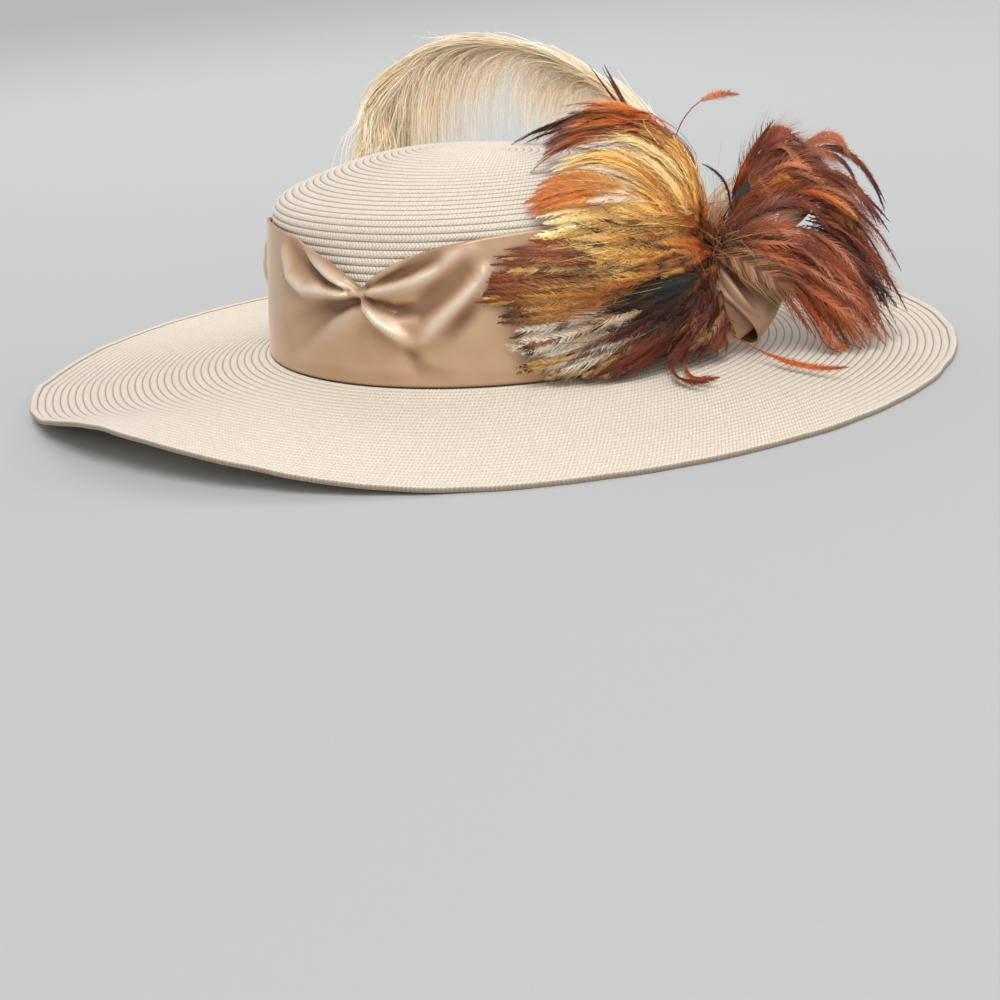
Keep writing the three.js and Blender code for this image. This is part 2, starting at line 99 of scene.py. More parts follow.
def gridFaces(rows, columns, rowsClose=False, columnsClose=False):
    # quads between neighbouring points of a grid whose points run along its columns first
    row = np.arange(rows if rowsClose else rows - 1)[:, None]
    column = np.arange(columns if columnsClose else columns - 1)[None, :]
    nextRow, nextColumn = (row + 1) % rows, (column + 1) % columns
    corners = [row * columns + column, row * columns + nextColumn,
               nextRow * columns + nextColumn, nextRow * columns + column]
    return np.stack(np.broadcast_arrays(*corners), -1).reshape(-1, 4)


def addPiece(name, points, faceSets, material, node, uv, tints=None):
    # faceSets are arrays of quads or triangles; uv has a pair for each point or each of their
    # corners, and tints a colour or one value for each point
    points, uv = points.reshape(-1, 3), uv.reshape(-1, 2)
    mesh = bpy.data.meshes.new(name)
    mesh.vertices.add(len(points))
    mesh.vertices.foreach_set("co", points.astype(np.float32).ravel())
    corners = np.concatenate([faces.ravel() for faces in faceSets])
    sizes = np.concatenate([np.full(len(faces), faces.shape[1]) for faces in faceSets])
    mesh.loops.add(len(corners))
    mesh.loops.foreach_set("vertex_index", corners.astype(np.int32))
    mesh.polygons.add(len(sizes))
    mesh.polygons.foreach_set("loop_start", (np.cumsum(sizes) - sizes).astype(np.int32))
    mesh.polygons.foreach_set("use_smooth", np.ones(len(sizes), bool))
    uv = uv[corners] if len(uv) == len(points) else uv
    mesh.uv_layers.new(name="pattern").data.foreach_set("uv", uv.astype(np.float32).ravel())
    if tints is not None:
        tints = tints.reshape(len(points), -1) * np.ones(4)
        layer = mesh.attributes.new("tint", "FLOAT_COLOR", "POINT")
        layer.data.foreach_set("color", tints.astype(np.float32).ravel())
    mesh.update()
    mesh.validate()
    mesh.materials.append(material)
    piece = addObject(name, mesh)
    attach(piece, "root")
    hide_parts(node)
    print(name, "has", int((sizes - 2).sum()), "triangles")
    return piece


def closedUv(lengths, heights, sides):
    # a closed grid's corners: u runs round it by each row's length, v from a row to the next
    u = (np.arange(sides)[:, None] + np.array([0, 1, 1, 0])) / sides * lengths[:, None, None]
    v = np.stack([heights, heights, np.roll(heights, -1), np.roll(heights, -1)], -1)[:, None]
    return np.stack(np.broadcast_arrays(u, v), -1)


def closeEnds(points, sides, ends):
    # each end is a ring's first point and the way that the fan round its middle turns
    ring = np.arange(sides)
    fans = []
    for start, turned in ends:
        points = np.vstack([points, points[start:start + sides].mean(0)])
        fan = np.stack([start + ring, start + (ring + 1) % sides, np.full(sides, len(points) - 1)], -1)
        fans.append(fan[:, ::turned])
    return points, fans


def evenly(count):
    return np.linspace(0, 1, count)


def spread(values):
    # unit vectors from vectors
    return values / np.maximum(np.linalg.norm(values, axis=-1, keepdims=True), 1e-9)


def softStep(values, low, high):
    # 0 below low, 1 above high, smooth between
    share = np.clip((values - low) / (high - low), 0, 1)
    return share * share * (3 - 2 * share)


# the straw hat's shape in metres, the same functions as the solid's; each of the brim's waves
# has its middle and half width in degrees and its share of the rise

hat = {
    "halfWidth": 85.5 * mm, "halfLength": 101.5 * mm, "sideHeight": 59.5 * mm, "taper": 6.7 * mm,
    "shoulder": 10 * mm, "rimSlope": math.radians(22), "wall": 2.2 * mm,
    "brimWidth": 108.7 * mm, "brimDrop": 9.3 * mm, "sideRise": 16 * mm, "brimFlat": 0.93,
    "waves": ((98, 46, 1), (261.6, 51.6, 1), (243, 22, -0.36)), "fallPower": 1.4, "risePower": 1.8,
    "fit": 0.3 * mm,
}
baseHeight = hat["wall"] + hat["brimDrop"]
sideRun = math.hypot(hat["taper"], hat["sideHeight"])
shoulderTurn = math.pi / 2 - hat["rimSlope"]
shoulderRun = hat["shoulder"] * shoulderTurn
tipReach = hat["halfWidth"] - hat["taper"] - hat["shoulder"] * (1 - math.cos(shoulderTurn))
tipDome = math.tan(hat["rimSlope"]) * tipReach / 2
crownRun = sideRun + shoulderRun + tipReach


def anglesRound(sides):
    return np.arange(sides) * 360 / sides


def degreesFrom(angle, middle):
    return (angle - middle + 180) % 360 - 180


def ovalPoint(angle, outset, height):
    # degrees round the hat from the front, distance outside the crown's foot, height
    turn = np.radians(angle)
    x = (hat["halfWidth"] + outset) * np.sin(turn)
    y = -(hat["halfLength"] + outset) * np.cos(turn)
    return np.stack(np.broadcast_arrays(x, y, height), -1)


def crownProfile(run):
    # inset, height, and the normal's outward and upward parts: a leaning side, an arc for the
    # shoulder, and a parabola for the tip
    run = np.asarray(run, float)
    side = np.clip(run / sideRun, None, 1)
    turn = np.clip((run - sideRun) / hat["shoulder"], 0, shoulderTurn)
    left = np.clip(1 - (run - sideRun - shoulderRun) / tipReach, 0, 1)
    inset = hat["taper"] * side + hat["shoulder"] * (1 - np.cos(turn)) + tipReach * (1 - left)
    height = hat["sideHeight"] * side + hat["shoulder"] * np.sin(turn) + tipDome * (1 - left * left)
    onTip = run > sideRun + shoulderRun
    tilt = np.where(onTip, math.pi / 2 - np.arctan(2 * tipDome * left / tipReach), turn)
    tilt = np.where(run <= sideRun, math.atan2(hat["taper"], hat["sideHeight"]), tilt)
    return inset, height, np.cos(tilt), np.sin(tilt)


def crownPoint(angle, run, lift):
    inset, height, out, up = crownProfile(run)
    return ovalPoint(angle, lift * out - inset, baseHeight + height + lift * up)


def brimUnderside(angle, share):
    # a curve that falls to the flat edge, and squared cosine waves at the sides
    rise = 0
    for middle, halfWidth, part in hat["waves"]:
        away = np.abs(degreesFrom(angle, middle)) / halfWidth
        rise = rise + part * hat["sideRise"] * np.where(away < 1, np.cos(math.pi / 2 * away) ** 2, 0)
    fall = np.clip(1 - share / hat["brimFlat"], 0, None) ** hat["fallPower"]
    return hat["brimDrop"] * fall + rise * share ** hat["risePower"]


# straw: flat plaits of paper straw, sewn in rows that overlap, which gives ivory, matt ridges with
# dark lines between them; the lines are painted shade, at each row's foot and in the grooves

strawSet = {
    "row": 3.3 * mm, "plait": 1.6 * mm, "ridge": 1.0 * mm, "samples": (0.03, 0.16, 0.42, 0.72, 0.93),
    "crownSides": 216, "brimSides": 330, "tipHole": 1.2 * mm, "innerRidge": 0.2 * mm, "underRidge": 0.35,
    # the brim's edge: how thick it is sewn, and its wobbles' size, counts and starts
    "edgeThick": 0.5 * mm, "edgeWave": 0.5 * mm, "wobbles": ((31, 0.4), (47, 2.1), (19, 4.0)),
    "ivory": "#E6D7C4", "light": "#F3E9DC", "shade": "#7C6847",
}


def clearOfBrim(points, gap):
    # what would sink into the brim is raised to lie on it; the outset is found in four steps
    x, y, z = np.moveaxis(points, -1, 0)
    outset = np.zeros_like(x)
    for _ in range(4):
        ratio = np.hypot(x / (hat["halfWidth"] + outset), y / (hat["halfLength"] + outset))
        outset = np.maximum(outset + (ratio - 1) * (hat["halfWidth"] + outset), 0)
    turn = np.arctan2(x / (hat["halfWidth"] + outset), -y / (hat["halfLength"] + outset))
    low = brimUnderside(np.degrees(turn) % 360, np.minimum(outset / hat["brimWidth"], 1))
    return np.stack([x, y, np.maximum(z, low + hat["wall"] + strawSet["ridge"] / 2 + gap)], -1)


def strawMaterial():
    material, tree, shader = newMaterial("ivory paper straw braid", {
        "Roughness": 0.58, "Sheen Weight": 0.15, "IOR": 1.5})
    pattern = addNode(tree, "UVMap", uv_map="pattern")
    split = addNode(tree, "SeparateXYZ", {0: pattern})
    within = addNode(tree, "Math", {0: split.outputs[1]}, operation="FRACT")
    fromMiddle = addNode(tree, "Math", {0: within, 1: 0.5}, operation="SUBTRACT")
    across = addNode(tree, "Math", {0: fromMiddle}, operation="ABSOLUTE")
    # strands slant away from the row's middle line, so u is shifted by the distance from it
    slant = addNode(tree, "Math", {0: across, 1: 1.7, 2: split}, operation="MULTIPLY_ADD")
    wobble = addNode(tree, "TexNoise", {"Vector": pattern, "Scale": 1.3, "Detail": 2.0})
    phase = addNode(tree, "Math", {0: wobble, 1: 0.9, 2: slant}, operation="MULTIPLY_ADD")
    wave = addNode(tree, "Math", {0: phase, 1: math.pi}, operation="MULTIPLY")
    sine = addNode(tree, "Math", {0: wave}, operation="SINE")
    strand = addNode(tree, "Math", {0: sine}, operation="ABSOLUTE")
    middleLine = addNode(tree, "MapRange", {0: across, 1: 0.0, 2: 0.09, 3: 0.45, 4: 1.0})
    height = addNode(tree, "Math", {0: strand, 1: middleLine}, operation="MULTIPLY")
    pith = addNode(tree, "TexNoise", {"Vector": pattern, "Scale": 2.6, "Detail": 3.0})
    fleck = addNode(tree, "ValToRGB", {0: pith})
    for stop, position, tint in zip(fleck.color_ramp.elements, (0.36, 0.64), ("ivory", "light")):
        stop.position = position
        stop.color = linearColour(strawSet[tint])
    # painted shade: the low grooves between the strands are mixed towards the shade colour
    gap = addNode(tree, "MapRange", {0: height, 1: 0.05, 2: 0.45, 3: 0.4, 4: 0.0})
    mixed = addNode(tree, "Mix", {0: gap, 6: fleck, 7: strawSet["shade"]}, data_type="RGBA")
    # painted shade: each row's foot is darker, where the next row hides it and would shade it
    foot = addNode(tree, "MapRange", {0: across, 1: 0.36, 2: 0.47, 3: 0.0, 4: 0.8})
    paintedRowShade = addNode(tree, "Mix", {0: foot, 6: mixed.outputs[2], 7: strawSet["shade"]}, data_type="RGBA")
    bump = addNode(tree, "Bump", {"Strength": 0.7, "Distance": 0.0003, "Height": height})
    tree.links.new(paintedRowShade.outputs[2], shader.inputs["Base Color"])
    tree.links.new(bump.outputs[0], shader.inputs["Normal"])
    return material


def rowRuns(length):
    # places across the rows, a few in each, and how far each stands below the row's ridge:
    # a rounded back that falls to a narrow groove, a little higher on its outer side
    rows = round(length / strawSet["row"])
    within = np.tile(strawSet["samples"], rows)
    places = (np.repeat(np.arange(rows), len(strawSet["samples"])) + within) / rows
    back = np.sin(math.pi * within) ** 0.55 * (0.86 + 0.14 * (1 - within))
    return places, (back - 1) * strawSet["ridge"], rows


def lengthAround(insets):
    # circumference of the oval that lies inset inside the crown's foot
    a, b = hat["halfWidth"] - insets, hat["halfLength"] - insets
    return math.pi * (3 * (a + b) - np.sqrt((3 * a + b) * (a + 3 * b)))


def strawUv(shares, insets, sides):
    # u counts plaits round the hat, a whole number in each row; v counts rows, and a corner on a
    # row's border takes the v of the row that its face is in
    rowOf = np.clip(np.floor((shares + np.roll(shares, -1)) / 2), 0, len(insets) - 1).astype(int)
    plaits = np.maximum(np.round(lengthAround(insets) / strawSet["plait"]), 4)
    uv = closedUv(plaits[rowOf], shares, sides)
    inRow = rowOf[:, None, None]
    uv[..., 1] = np.clip(uv[..., 1], inRow + 0.001, inRow + 0.999)
    return uv


def makeCrown():
    places, lifts, rows = rowRuns(crownRun)
    places = places[places * crownRun < crownRun - strawSet["tipHole"]]
    lifts = lifts[:len(places)]
    sides = strawSet["crownSides"]
    angles = anglesRound(sides)
    outer = crownPoint(angles, (places * crownRun)[:, None], lifts[:, None])
    inPlaces = np.linspace(places[-1], 0, rows)
    inLifts = -hat["wall"] + strawSet["innerRidge"] * np.abs(np.sin(math.pi * inPlaces * rows))
    inner = crownPoint(angles, (inPlaces * crownRun)[:, None], inLifts[:, None])
    foot = [ovalPoint(angles, outset, hat["brimDrop"])[None] for outset in (-hat["wall"], 0)]
    points = np.concatenate([outer, inner, *foot]).reshape(-1, 3)
    rings = len(points) // sides
    quads = gridFaces(rings, sides, rowsClose=True, columnsClose=True).reshape(rings, sides, 4)
    # fans close the tip outside and inside, where the rows of quads would join the two
    keep = np.arange(rings) != len(outer) - 1
    points, tips = closeEnds(points, sides, (((len(outer) - 1) * sides, 1), (len(outer) * sides, -1)))
    shares = np.concatenate([places * rows, inPlaces * rows, [0, 0]])
    uv = strawUv(shares, crownProfile((np.arange(rows) + 0.5) / rows * crownRun)[0], sides)
    tipUv = np.stack([np.repeat(np.arange(sides), 3) * 0.05, np.full(3 * sides, 0.5)], -1)
    uv = np.concatenate([uv[keep].reshape(-1, 2), tipUv, tipUv])
    addPiece("straw_crown", points, [quads[keep].reshape(-1, 4), *tips], ivoryStraw, "crown", uv)


def makeBrim():
    places, lifts, rows = rowRuns(hat["brimWidth"])
    sides = strawSet["brimSides"]
    angles = anglesRound(sides)
    wobble = sum(np.sin(np.radians(angles) * count + start) for count, start in strawSet["wobbles"]) / 3
    thick = hat["wall"] + strawSet["edgeThick"] * (places > 1 - 1 / rows)

    def sheetAt(share, height):
        # rings of straw, which wobble only near the edge, up and down and in and out
        edge = share ** 12 * strawSet["edgeWave"]
        outset = hat["fit"] + (hat["brimWidth"] - hat["fit"]) * share + edge * wobble
        return ovalPoint(angles, outset, brimUnderside(angles, share) + height + 0.4 * edge * np.abs(wobble))

    underPlaces = places[::-1][::2]
    top = sheetAt(places[:, None], (thick + lifts)[:, None])
    lip = sheetAt(np.ones((1, 1)), hat["wall"] / 2)
    under = sheetAt(underPlaces[:, None], -strawSet["underRidge"] * lifts[::-1][::2, None])
    points = np.concatenate([top, lip, under]).reshape(-1, 3)
    quads = gridFaces(len(points) // sides, sides, rowsClose=True, columnsClose=True)[:, ::-1]
    shares = np.concatenate([places, [1], underPlaces]) * rows
    uv = strawUv(shares, -(np.arange(rows) + 0.5) / rows * hat["brimWidth"], sides)[:, :, ::-1]
    addPiece("straw_brim", points, [quads], ivoryStraw, "brim", uv)


ivoryStraw = strawMaterial()
makeCrown()
makeBrim()


# satin: polyester threads woven with long floats on the face, which give a soft gloss that
# stretches along the folds; the weave is drawn coarser than the real one, so that it shows

# the cloth's own tones are champagne and light; valley is painted shade for the folds' hollows, ridge a
# painted highlight for their crests
satinSet = {"champagne": "#BA9470", "light": "#C9A684", "ridge": "#E9D8C2", "valley": "#6E4527",
            "sheen": "#F3E4D2"}


def satinMaterial():
    material, tree, shader = newMaterial("champagne polyester satin", {
        "Roughness": 0.36, "Metallic": 0.12, "Sheen Weight": 0.45, "Sheen Roughness": 0.3, "IOR": 1.58,
        "Sheen Tint": linearColour(satinSet["sheen"])})
    pattern = addNode(tree, "UVMap", uv_map="pattern")
    threads = addNode(tree, "Mapping", {"Vector": pattern, "Scale": (0.05, 1.0, 1.0)})
    weave = addNode(tree, "TexNoise", {"Vector": threads, "Scale": 3.0, "Detail": 3.0})
    cloudy = addNode(tree, "TexNoise", {"Vector": pattern, "Scale": 0.05, "Detail": 2.0})
    # painted shade and painted highlight: satin sends light from wall to wall of a fold, so valleys are
    # painted deep brown and ridges pale, by the fold relief that each piece stores in its tint attribute
    fold = addNode(tree, "Attribute", attribute_name="tint")
    paintedShading = addNode(tree, "SeparateColor", {0: fold})
    deep = addNode(tree, "MapRange", {0: paintedShading, 1: 0.5, 2: 0.0, 3: 0.0, 4: 0.85})
    high = addNode(tree, "MapRange", {0: paintedShading, 1: 0.5, 2: 1.0, 3: 0.0, 4: 0.75})
    tint = satinSet["champagne"]
    for share, added in ((cloudy, "light"), (deep, "valley"), (high, "ridge")):
        mixed = addNode(tree, "Mix", {0: share, 6: tint, 7: satinSet[added]}, data_type="RGBA")
        tint = mixed.outputs[2]
    fine = addNode(tree, "Bump", {"Strength": 0.12, "Distance": 0.0002, "Height": weave})
    tree.links.new(tint, shader.inputs["Base Color"])
    tree.links.new(fine.outputs[0], shader.inputs["Normal"])
    return material


# the band's pinches are in degrees round the hat
bandSet = {
    "width": 62 * mm, "wall": 1.2 * mm, "outside": 0.6 * mm, "inside": 0.4 * mm, "foot": 0.4 * mm,
    "pinchDepth": 0.35, "pinchReach": 15, "pinches": (-81, 99, 189), "pinchHeight": 38.5 * mm,
    "around": 500, "up": 46, "lift": 0.9 * mm, "ease": 0.8 * mm, "flat": 9 * mm,
    "puff": 4.6 * mm, "puffReach": (40 * mm, 24 * mm), "shadeDepth": 4.1 * mm,
    # where the folds end at the foot and begin to settle at the top, and by how much
    "footEase": 0.16, "topEase": 0.9, "settled": 0.45,
    # folds at a pinch: a path in mm along the band and up from the pinch, the height in mm, and
    # the half width in mm at the start and at the end
    "folds": (
        (((-2, 1.5), (-11.5, 5.5), (-21.5, 11.5), (-36, 20)), 3.4, 1.2, 5.4),
        (((-5, 0.8), (-18, 3.5), (-32, 9), (-39, 12.5), (-48, 17)), -4.6, 1.0, 4.4),
        (((0, 0), (-15.5, -0.5), (-32.5, -1), (-45.5, 3.5), (-53, 12)), 4.4, 1.7, 4.2),
        (((-2, -3.4), (-18.5, -8), (-33, -14.5), (-50.5, -23)), -6.4, 2.0, 7.5),
        (((4, 2.4), (18.5, 7.5), (28.5, 12), (37, 14)), -6.4, 1.2, 4.4),
        (((0, 0.4), (16, 2.5), (27, 5), (37.5, 10.5), (51, 18)), 3.8, 1.5, 5.0),
        (((4, -2.4), (17.5, -6.5), (28, -6.5), (36.5, -0.5), (50, 8.5)), -5.4, 1.6, 5.6),
        (((2, -3), (9.5, -11), (16.5, -15.5), (23, -19.5)), 4.4, 1.4, 3.4),
        (((57, 7), (47, -3.5), (37.5, -11.5), (30, -18)), 4.4, 4.0, 3.6),
        (((22.5, -24), (27, -31.5), (37, -36)), -3.0, 2.4, 4.0),
        (((53, -5.5), (41.5, -15.5)), -2.6, 3.0, 4.0),
        (((-12, -1.6), (0, -1.4), (12, 1.6)), 2.0, 1.3, 1.5),
    ),
}


def bandTop(angle):
    # the ribbon's width, less an exponential dip at each pinch
    dips = sum(np.exp(-np.abs(degreesFrom(angle, pinch)) / bandSet["pinchReach"])
               for pinch in bandSet["pinches"])
    return (1 - bandSet["pinchDepth"] * dips) * bandSet["width"]


def foldHeight(along, up, fold):
    # a path over the band, highest near its middle; the height falls as a bell with the distance
    path, height, narrow, wide = fold
    path = np.array(path, float)
    best = np.full(along.shape, np.inf)
    where = np.zeros(along.shape)
    for share in evenly(33):
        x, y = (np.interp(share, evenly(len(path)), path[:, i]) for i in range(2))
        gap = np.hypot(along - x * mm, up - y * mm) / ((narrow + (wide - narrow) * share) * mm)
        where = np.where(gap < best, share, where)
        best = np.minimum(gap, best)
    return height * mm * np.exp(-best * best) * (0.35 + 0.65 * np.sin(math.pi * (0.12 + 0.8 * where)))


def bandLift(angle, run):
    # the cloth puffs out round a pinch, and the folds rise from it and sink into it; each pinch
    # has its size, and the second is a mirror image
    lift = bandSet["lift"]
    for pinch, size, side in zip(bandSet["pinches"], (1, 0.7, 0.7), (1, -1, 1)):
        along = np.radians(degreesFrom(angle, pinch)) * hat["halfLength"] + 0 * run
        up = run - bandSet["pinchHeight"]
        near = np.hypot(along / bandSet["puffReach"][0], up / bandSet["puffReach"][1])
        puff = bandSet["puff"] * np.exp(-near ** 2) * softStep(np.hypot(along, up), 0, bandSet["flat"])
        lift = lift + size * (puff + sum(foldHeight(side * along, up, fold) for fold in bandSet["folds"]))
    # what would sink into the straw eases off before it
    return bandSet["ease"] * np.log1p(np.exp(np.clip(lift / bandSet["ease"], -30, 30)))


def paintedFoldShading(heights, rows, columns, depth):
    # painted shade and highlight: 0.5 where a place is as high as the mean round it, less in a valley for
    # painted shade and more on a ridge for painted highlight
    mean = sum(np.roll(heights, k, 1) for k in range(-columns, columns + 1)) / (2 * columns + 1)
    mean = np.pad(mean, ((rows, rows), (0, 0)), mode="edge")
    mean = sum(mean[k:k + len(heights)] for k in range(2 * rows + 1)) / (2 * rows + 1)
    return np.clip(0.5 + (heights - mean) / depth, 0, 1)


def makeBand():
    around = bandSet["around"]
    angles = anglesRound(around)
    shares = evenly(bandSet["up"])
    runs = bandSet["foot"] + (bandTop(angles) - bandSet["foot"]) * shares[:, None]
    # the folds settle towards the two edges, and stand clear of the straw
    hold = softStep(shares, 0, bandSet["footEase"])
    hold = hold * (1 - bandSet["settled"] * softStep(shares, bandSet["topEase"], 1))
    lifts = bandSet["outside"] + (bandLift(angles, runs) - bandSet["outside"]) * hold[:, None] + hat["fit"]
    outer = crownPoint(angles, runs, lifts + bandSet["outside"])
    inner = crownPoint(angles, runs, np.maximum(lifts - bandSet["inside"], hat["fit"]))[::-1]
    # the band's tints are painted shade in its fold valleys and painted highlight on its ridges
    paintedShading = paintedFoldShading(lifts, 5, 7, bandSet["shadeDepth"])
    rows = 2 * bandSet["up"]
    quads = gridFaces(rows, around, rowsClose=True, columnsClose=True)
    heights = np.concatenate([shares, shares[::-1]]) * bandSet["width"] / mm
    uv = closedUv(np.full(rows, lengthAround(0.0) / mm), heights, around)
    piece = addPiece("satin_band", np.concatenate([outer, inner]), [quads], champagneSatin, "ribbon_band",
                     uv, np.concatenate([paintedShading, paintedShading[::-1]]))


champagneSatin = satinMaterial()
makeBand()
print("straw and band made")


# the bow: three loops and a wrapped knot of the same satin

def ribbonStrip(middle, across, face, halfWidth, wall, ripple):
    # a strip of cloth: cross sections that run out along one face and back along the other
    columns = ripple.shape[1]
    wide = np.linspace(-1, 1, columns)[None, :, None]
    spine = middle[:, None] + across * wide * halfWidth[:, None, None] + face[:, None] * ripple[..., None]
    outer = spine + face[:, None] * wall / 2
    inner = (spine - face[:, None] * wall / 2)[:, ::-1]
    ring = np.concatenate([outer, inner], 1)
    faces = [gridFaces(len(middle), 2 * columns, columnsClose=True)]
    for start, turned in ((0, -1), ((len(middle) - 1) * 2 * columns, 1)):
        column = np.arange(columns - 1)
        cap = np.stack([column, column + 1, 2 * columns - 2 - column, 2 * columns - 1 - column], -1) + start
        faces.append(cap[:, ::turned])
    return ring.reshape(-1, 3), faces


def makeLoop(name, along, out, up, apart, width, roll, shadow):
    # drop-shaped loop: it goes out by half of 1 - cos and parts by sin times the half angle's sine
    tip = fromKnot(np.zeros(3), along, out, up) * bowSet["reach"]
    reach = np.linalg.norm(tip)
    forward = tip / reach
    level = spread(np.cross(upward, forward))
    turn = math.radians(roll)
    parting = np.cross(forward, level) * math.cos(turn) + level * math.sin(turn)
    across = spread(np.cross(forward, parting))
    phase = 2 * math.pi * np.linspace(*bowSet["turn"], bowSet["steps"])
    opened = np.sin(phase / 2)
    far = reach * (1 - np.cos(phase)) / 2
    parted = apart * bowSet["reach"] * np.sin(phase) * opened + bandSet["wall"] * np.cos(phase / 2)
    middle = knotCentre + forward * far[:, None] + parting * parted[:, None]
    face = np.cross(across, spread(np.gradient(middle, axis=0)))
    halfWidth = width * bowSet["width"] / 2 * (bowSet["narrow"] + (1 - bowSet["narrow"]) * opened)
    # pleats fade out along the loop, and a shallow wave runs over the rest
    wide = np.linspace(-1, 1, bowSet["columns"])
    phase, opened = phase[:, None], opened[:, None]
    pleats = bowSet["pleat"] * (1 - opened) ** 0.8
    pleats = pleats * np.cos(wide * bowSet["pleatPhase"][0] + phase * bowSet["pleatPhase"][1])
    wave = bowSet["wave"] * opened * np.sin(wide * bowSet["wavePhase"][0] + phase * bowSet["wavePhase"][1])
    wave = wave * (1 - bowSet["calmEdge"] * wide ** 2)
    points, faces = ribbonStrip(middle, across, face, halfWidth, bowSet["wall"], pleats + wave)
    # painted shade: darker towards the knot, where the cloth is drawn together, and in the pleats, on the
    # inside and by each loop's shadow; painted highlight on the pleats' crests
    paintedShading = 0.5 - bowSet["knotShade"] * (1 - opened) + (pleats + wave) / bowSet["shadeDepth"] - shadow
    paintedShading = np.concatenate([paintedShading, paintedShading[:, ::-1] - bowSet["insideShade"]], 1)
    # the pattern follows the strip's length and width, both in mm
    back = np.concatenate([np.arange(len(wide)), np.arange(len(wide))[::-1]]) * bowSet["columnStep"]
    uv = np.stack(np.broadcast_arrays(np.arange(len(middle))[:, None] * bowSet["rowStep"], back), -1)
    piece = addPiece("satin_" + name, points, faces, champagneSatin, name, uv, np.clip(paintedShading, 0, 1))


def makeKnot():
    # an egg whose face is drawn in by pleats that run down it
    rows, sides = knotSet["rows"], knotSet["sides"]
    fromTop = (np.arange(rows)[:, None] + 0.5) / rows * math.pi
    turn = np.arange(sides) / sides * 2 * math.pi
    slant = knotSet["slant"] * np.sin(fromTop * 2)
    pleat = 1 - knotSet["pleat"] * np.abs(np.sin(turn * knotSet["pleats"] / 2 + slant)) ** 0.7
    across = np.sin(fromTop) ** 0.8 * pleat * knotSet["halfWidth"]
    high = np.cos(fromTop) * knotSet["halfHeight"] * knotSet["flat"] + 0 * turn
    points = fromKnot(knotCentre, across * np.sin(turn), across * np.cos(turn), high).reshape(-1, 3)
    points, ends = closeEnds(points, sides, ((0, 1), ((rows - 1) * sides, -1)))
    place = np.arange(len(points))
    uv = np.stack([place // sides * 0.8, place % sides * 0.9], -1)
    # painted shade: the knot is a little darker overall and darker in the pleats' hollows, with a little
    # painted highlight on their crests
    paintedShading = np.append(np.clip(0.4 + (pleat.ravel() - 0.96) * 5, 0, 1), [0.4, 0.4])
    addPiece("satin_knot", points, [gridFaces(rows, sides, columnsClose=True), *ends], champagneSatin,
             "bow_knot", uv, paintedShading)


knotSet = {"angle": 15, "run": 37.2 * mm, "halfWidth": 9 * mm, "halfHeight": 12 * mm,
           "rows": 34, "sides": 64, "flat": 0.98, "pleats": 9, "pleat": 0.09, "slant": 0.7}
bowSet = {
    "reach": 64 * mm, "width": 34 * mm, "wall": 0.5 * mm, "steps": 96, "columns": 17,
    "turn": (0.03, 0.97), "pleat": 1.5 * mm, "wave": 1.1 * mm, "shadeDepth": 6 * mm,
    "rowStep": 1.4, "columnStep": 2.0, "narrow": 0.4, "knotShade": 0.22, "insideShade": 0.15,
    # the pleats' and the wave's phase over the half width and per radian of the turn
    "pleatPhase": (8.5, 0.6), "wavePhase": (2.1, 2.3), "calmEdge": 0.3,
    # along, out and up to the tip, how far it opens, its width, its roll and how shaded it is
    "loops": {
        "bow_loop_upper": (0.84, 0.41, 0.34, 0.27, 1, 20, 0.0),
        "bow_loop_lower": (0.16, 0.47, -0.42, 0.19, 0.94, -48, 0.36),
        "bow_loop_front": (-0.08, 0.31, -0.52, 0.14, 0.74, -60, 0.26),
    },
}
upward = np.array([0.0, 0.0, 1.0])
knotTurn = math.radians(knotSet["angle"])
knotOut = np.array([math.sin(knotTurn), -math.cos(knotTurn), 0.0])
knotAlong = np.array([math.cos(knotTurn), math.sin(knotTurn), 0.0])
knotLift = hat["fit"] + bandSet["wall"] + 0.95 * knotSet["halfWidth"]
knotCentre = crownPoint(knotSet["angle"], knotSet["run"], knotLift)


def fromKnot(centre, along, out, up):
    # a place measured along the band, out from the crown and up
    along, out, up = (np.asarray(part)[..., None] for part in (along, out, up))
    return centre + along * knotAlong + out * knotOut + up * upward


makeKnot()
for loopName, loopShape in bowSet["loops"].items():
    makeLoop(loopName, *loopShape)


# feathers: each has a thin vane of colour along its quill and tapered barbs on both sides

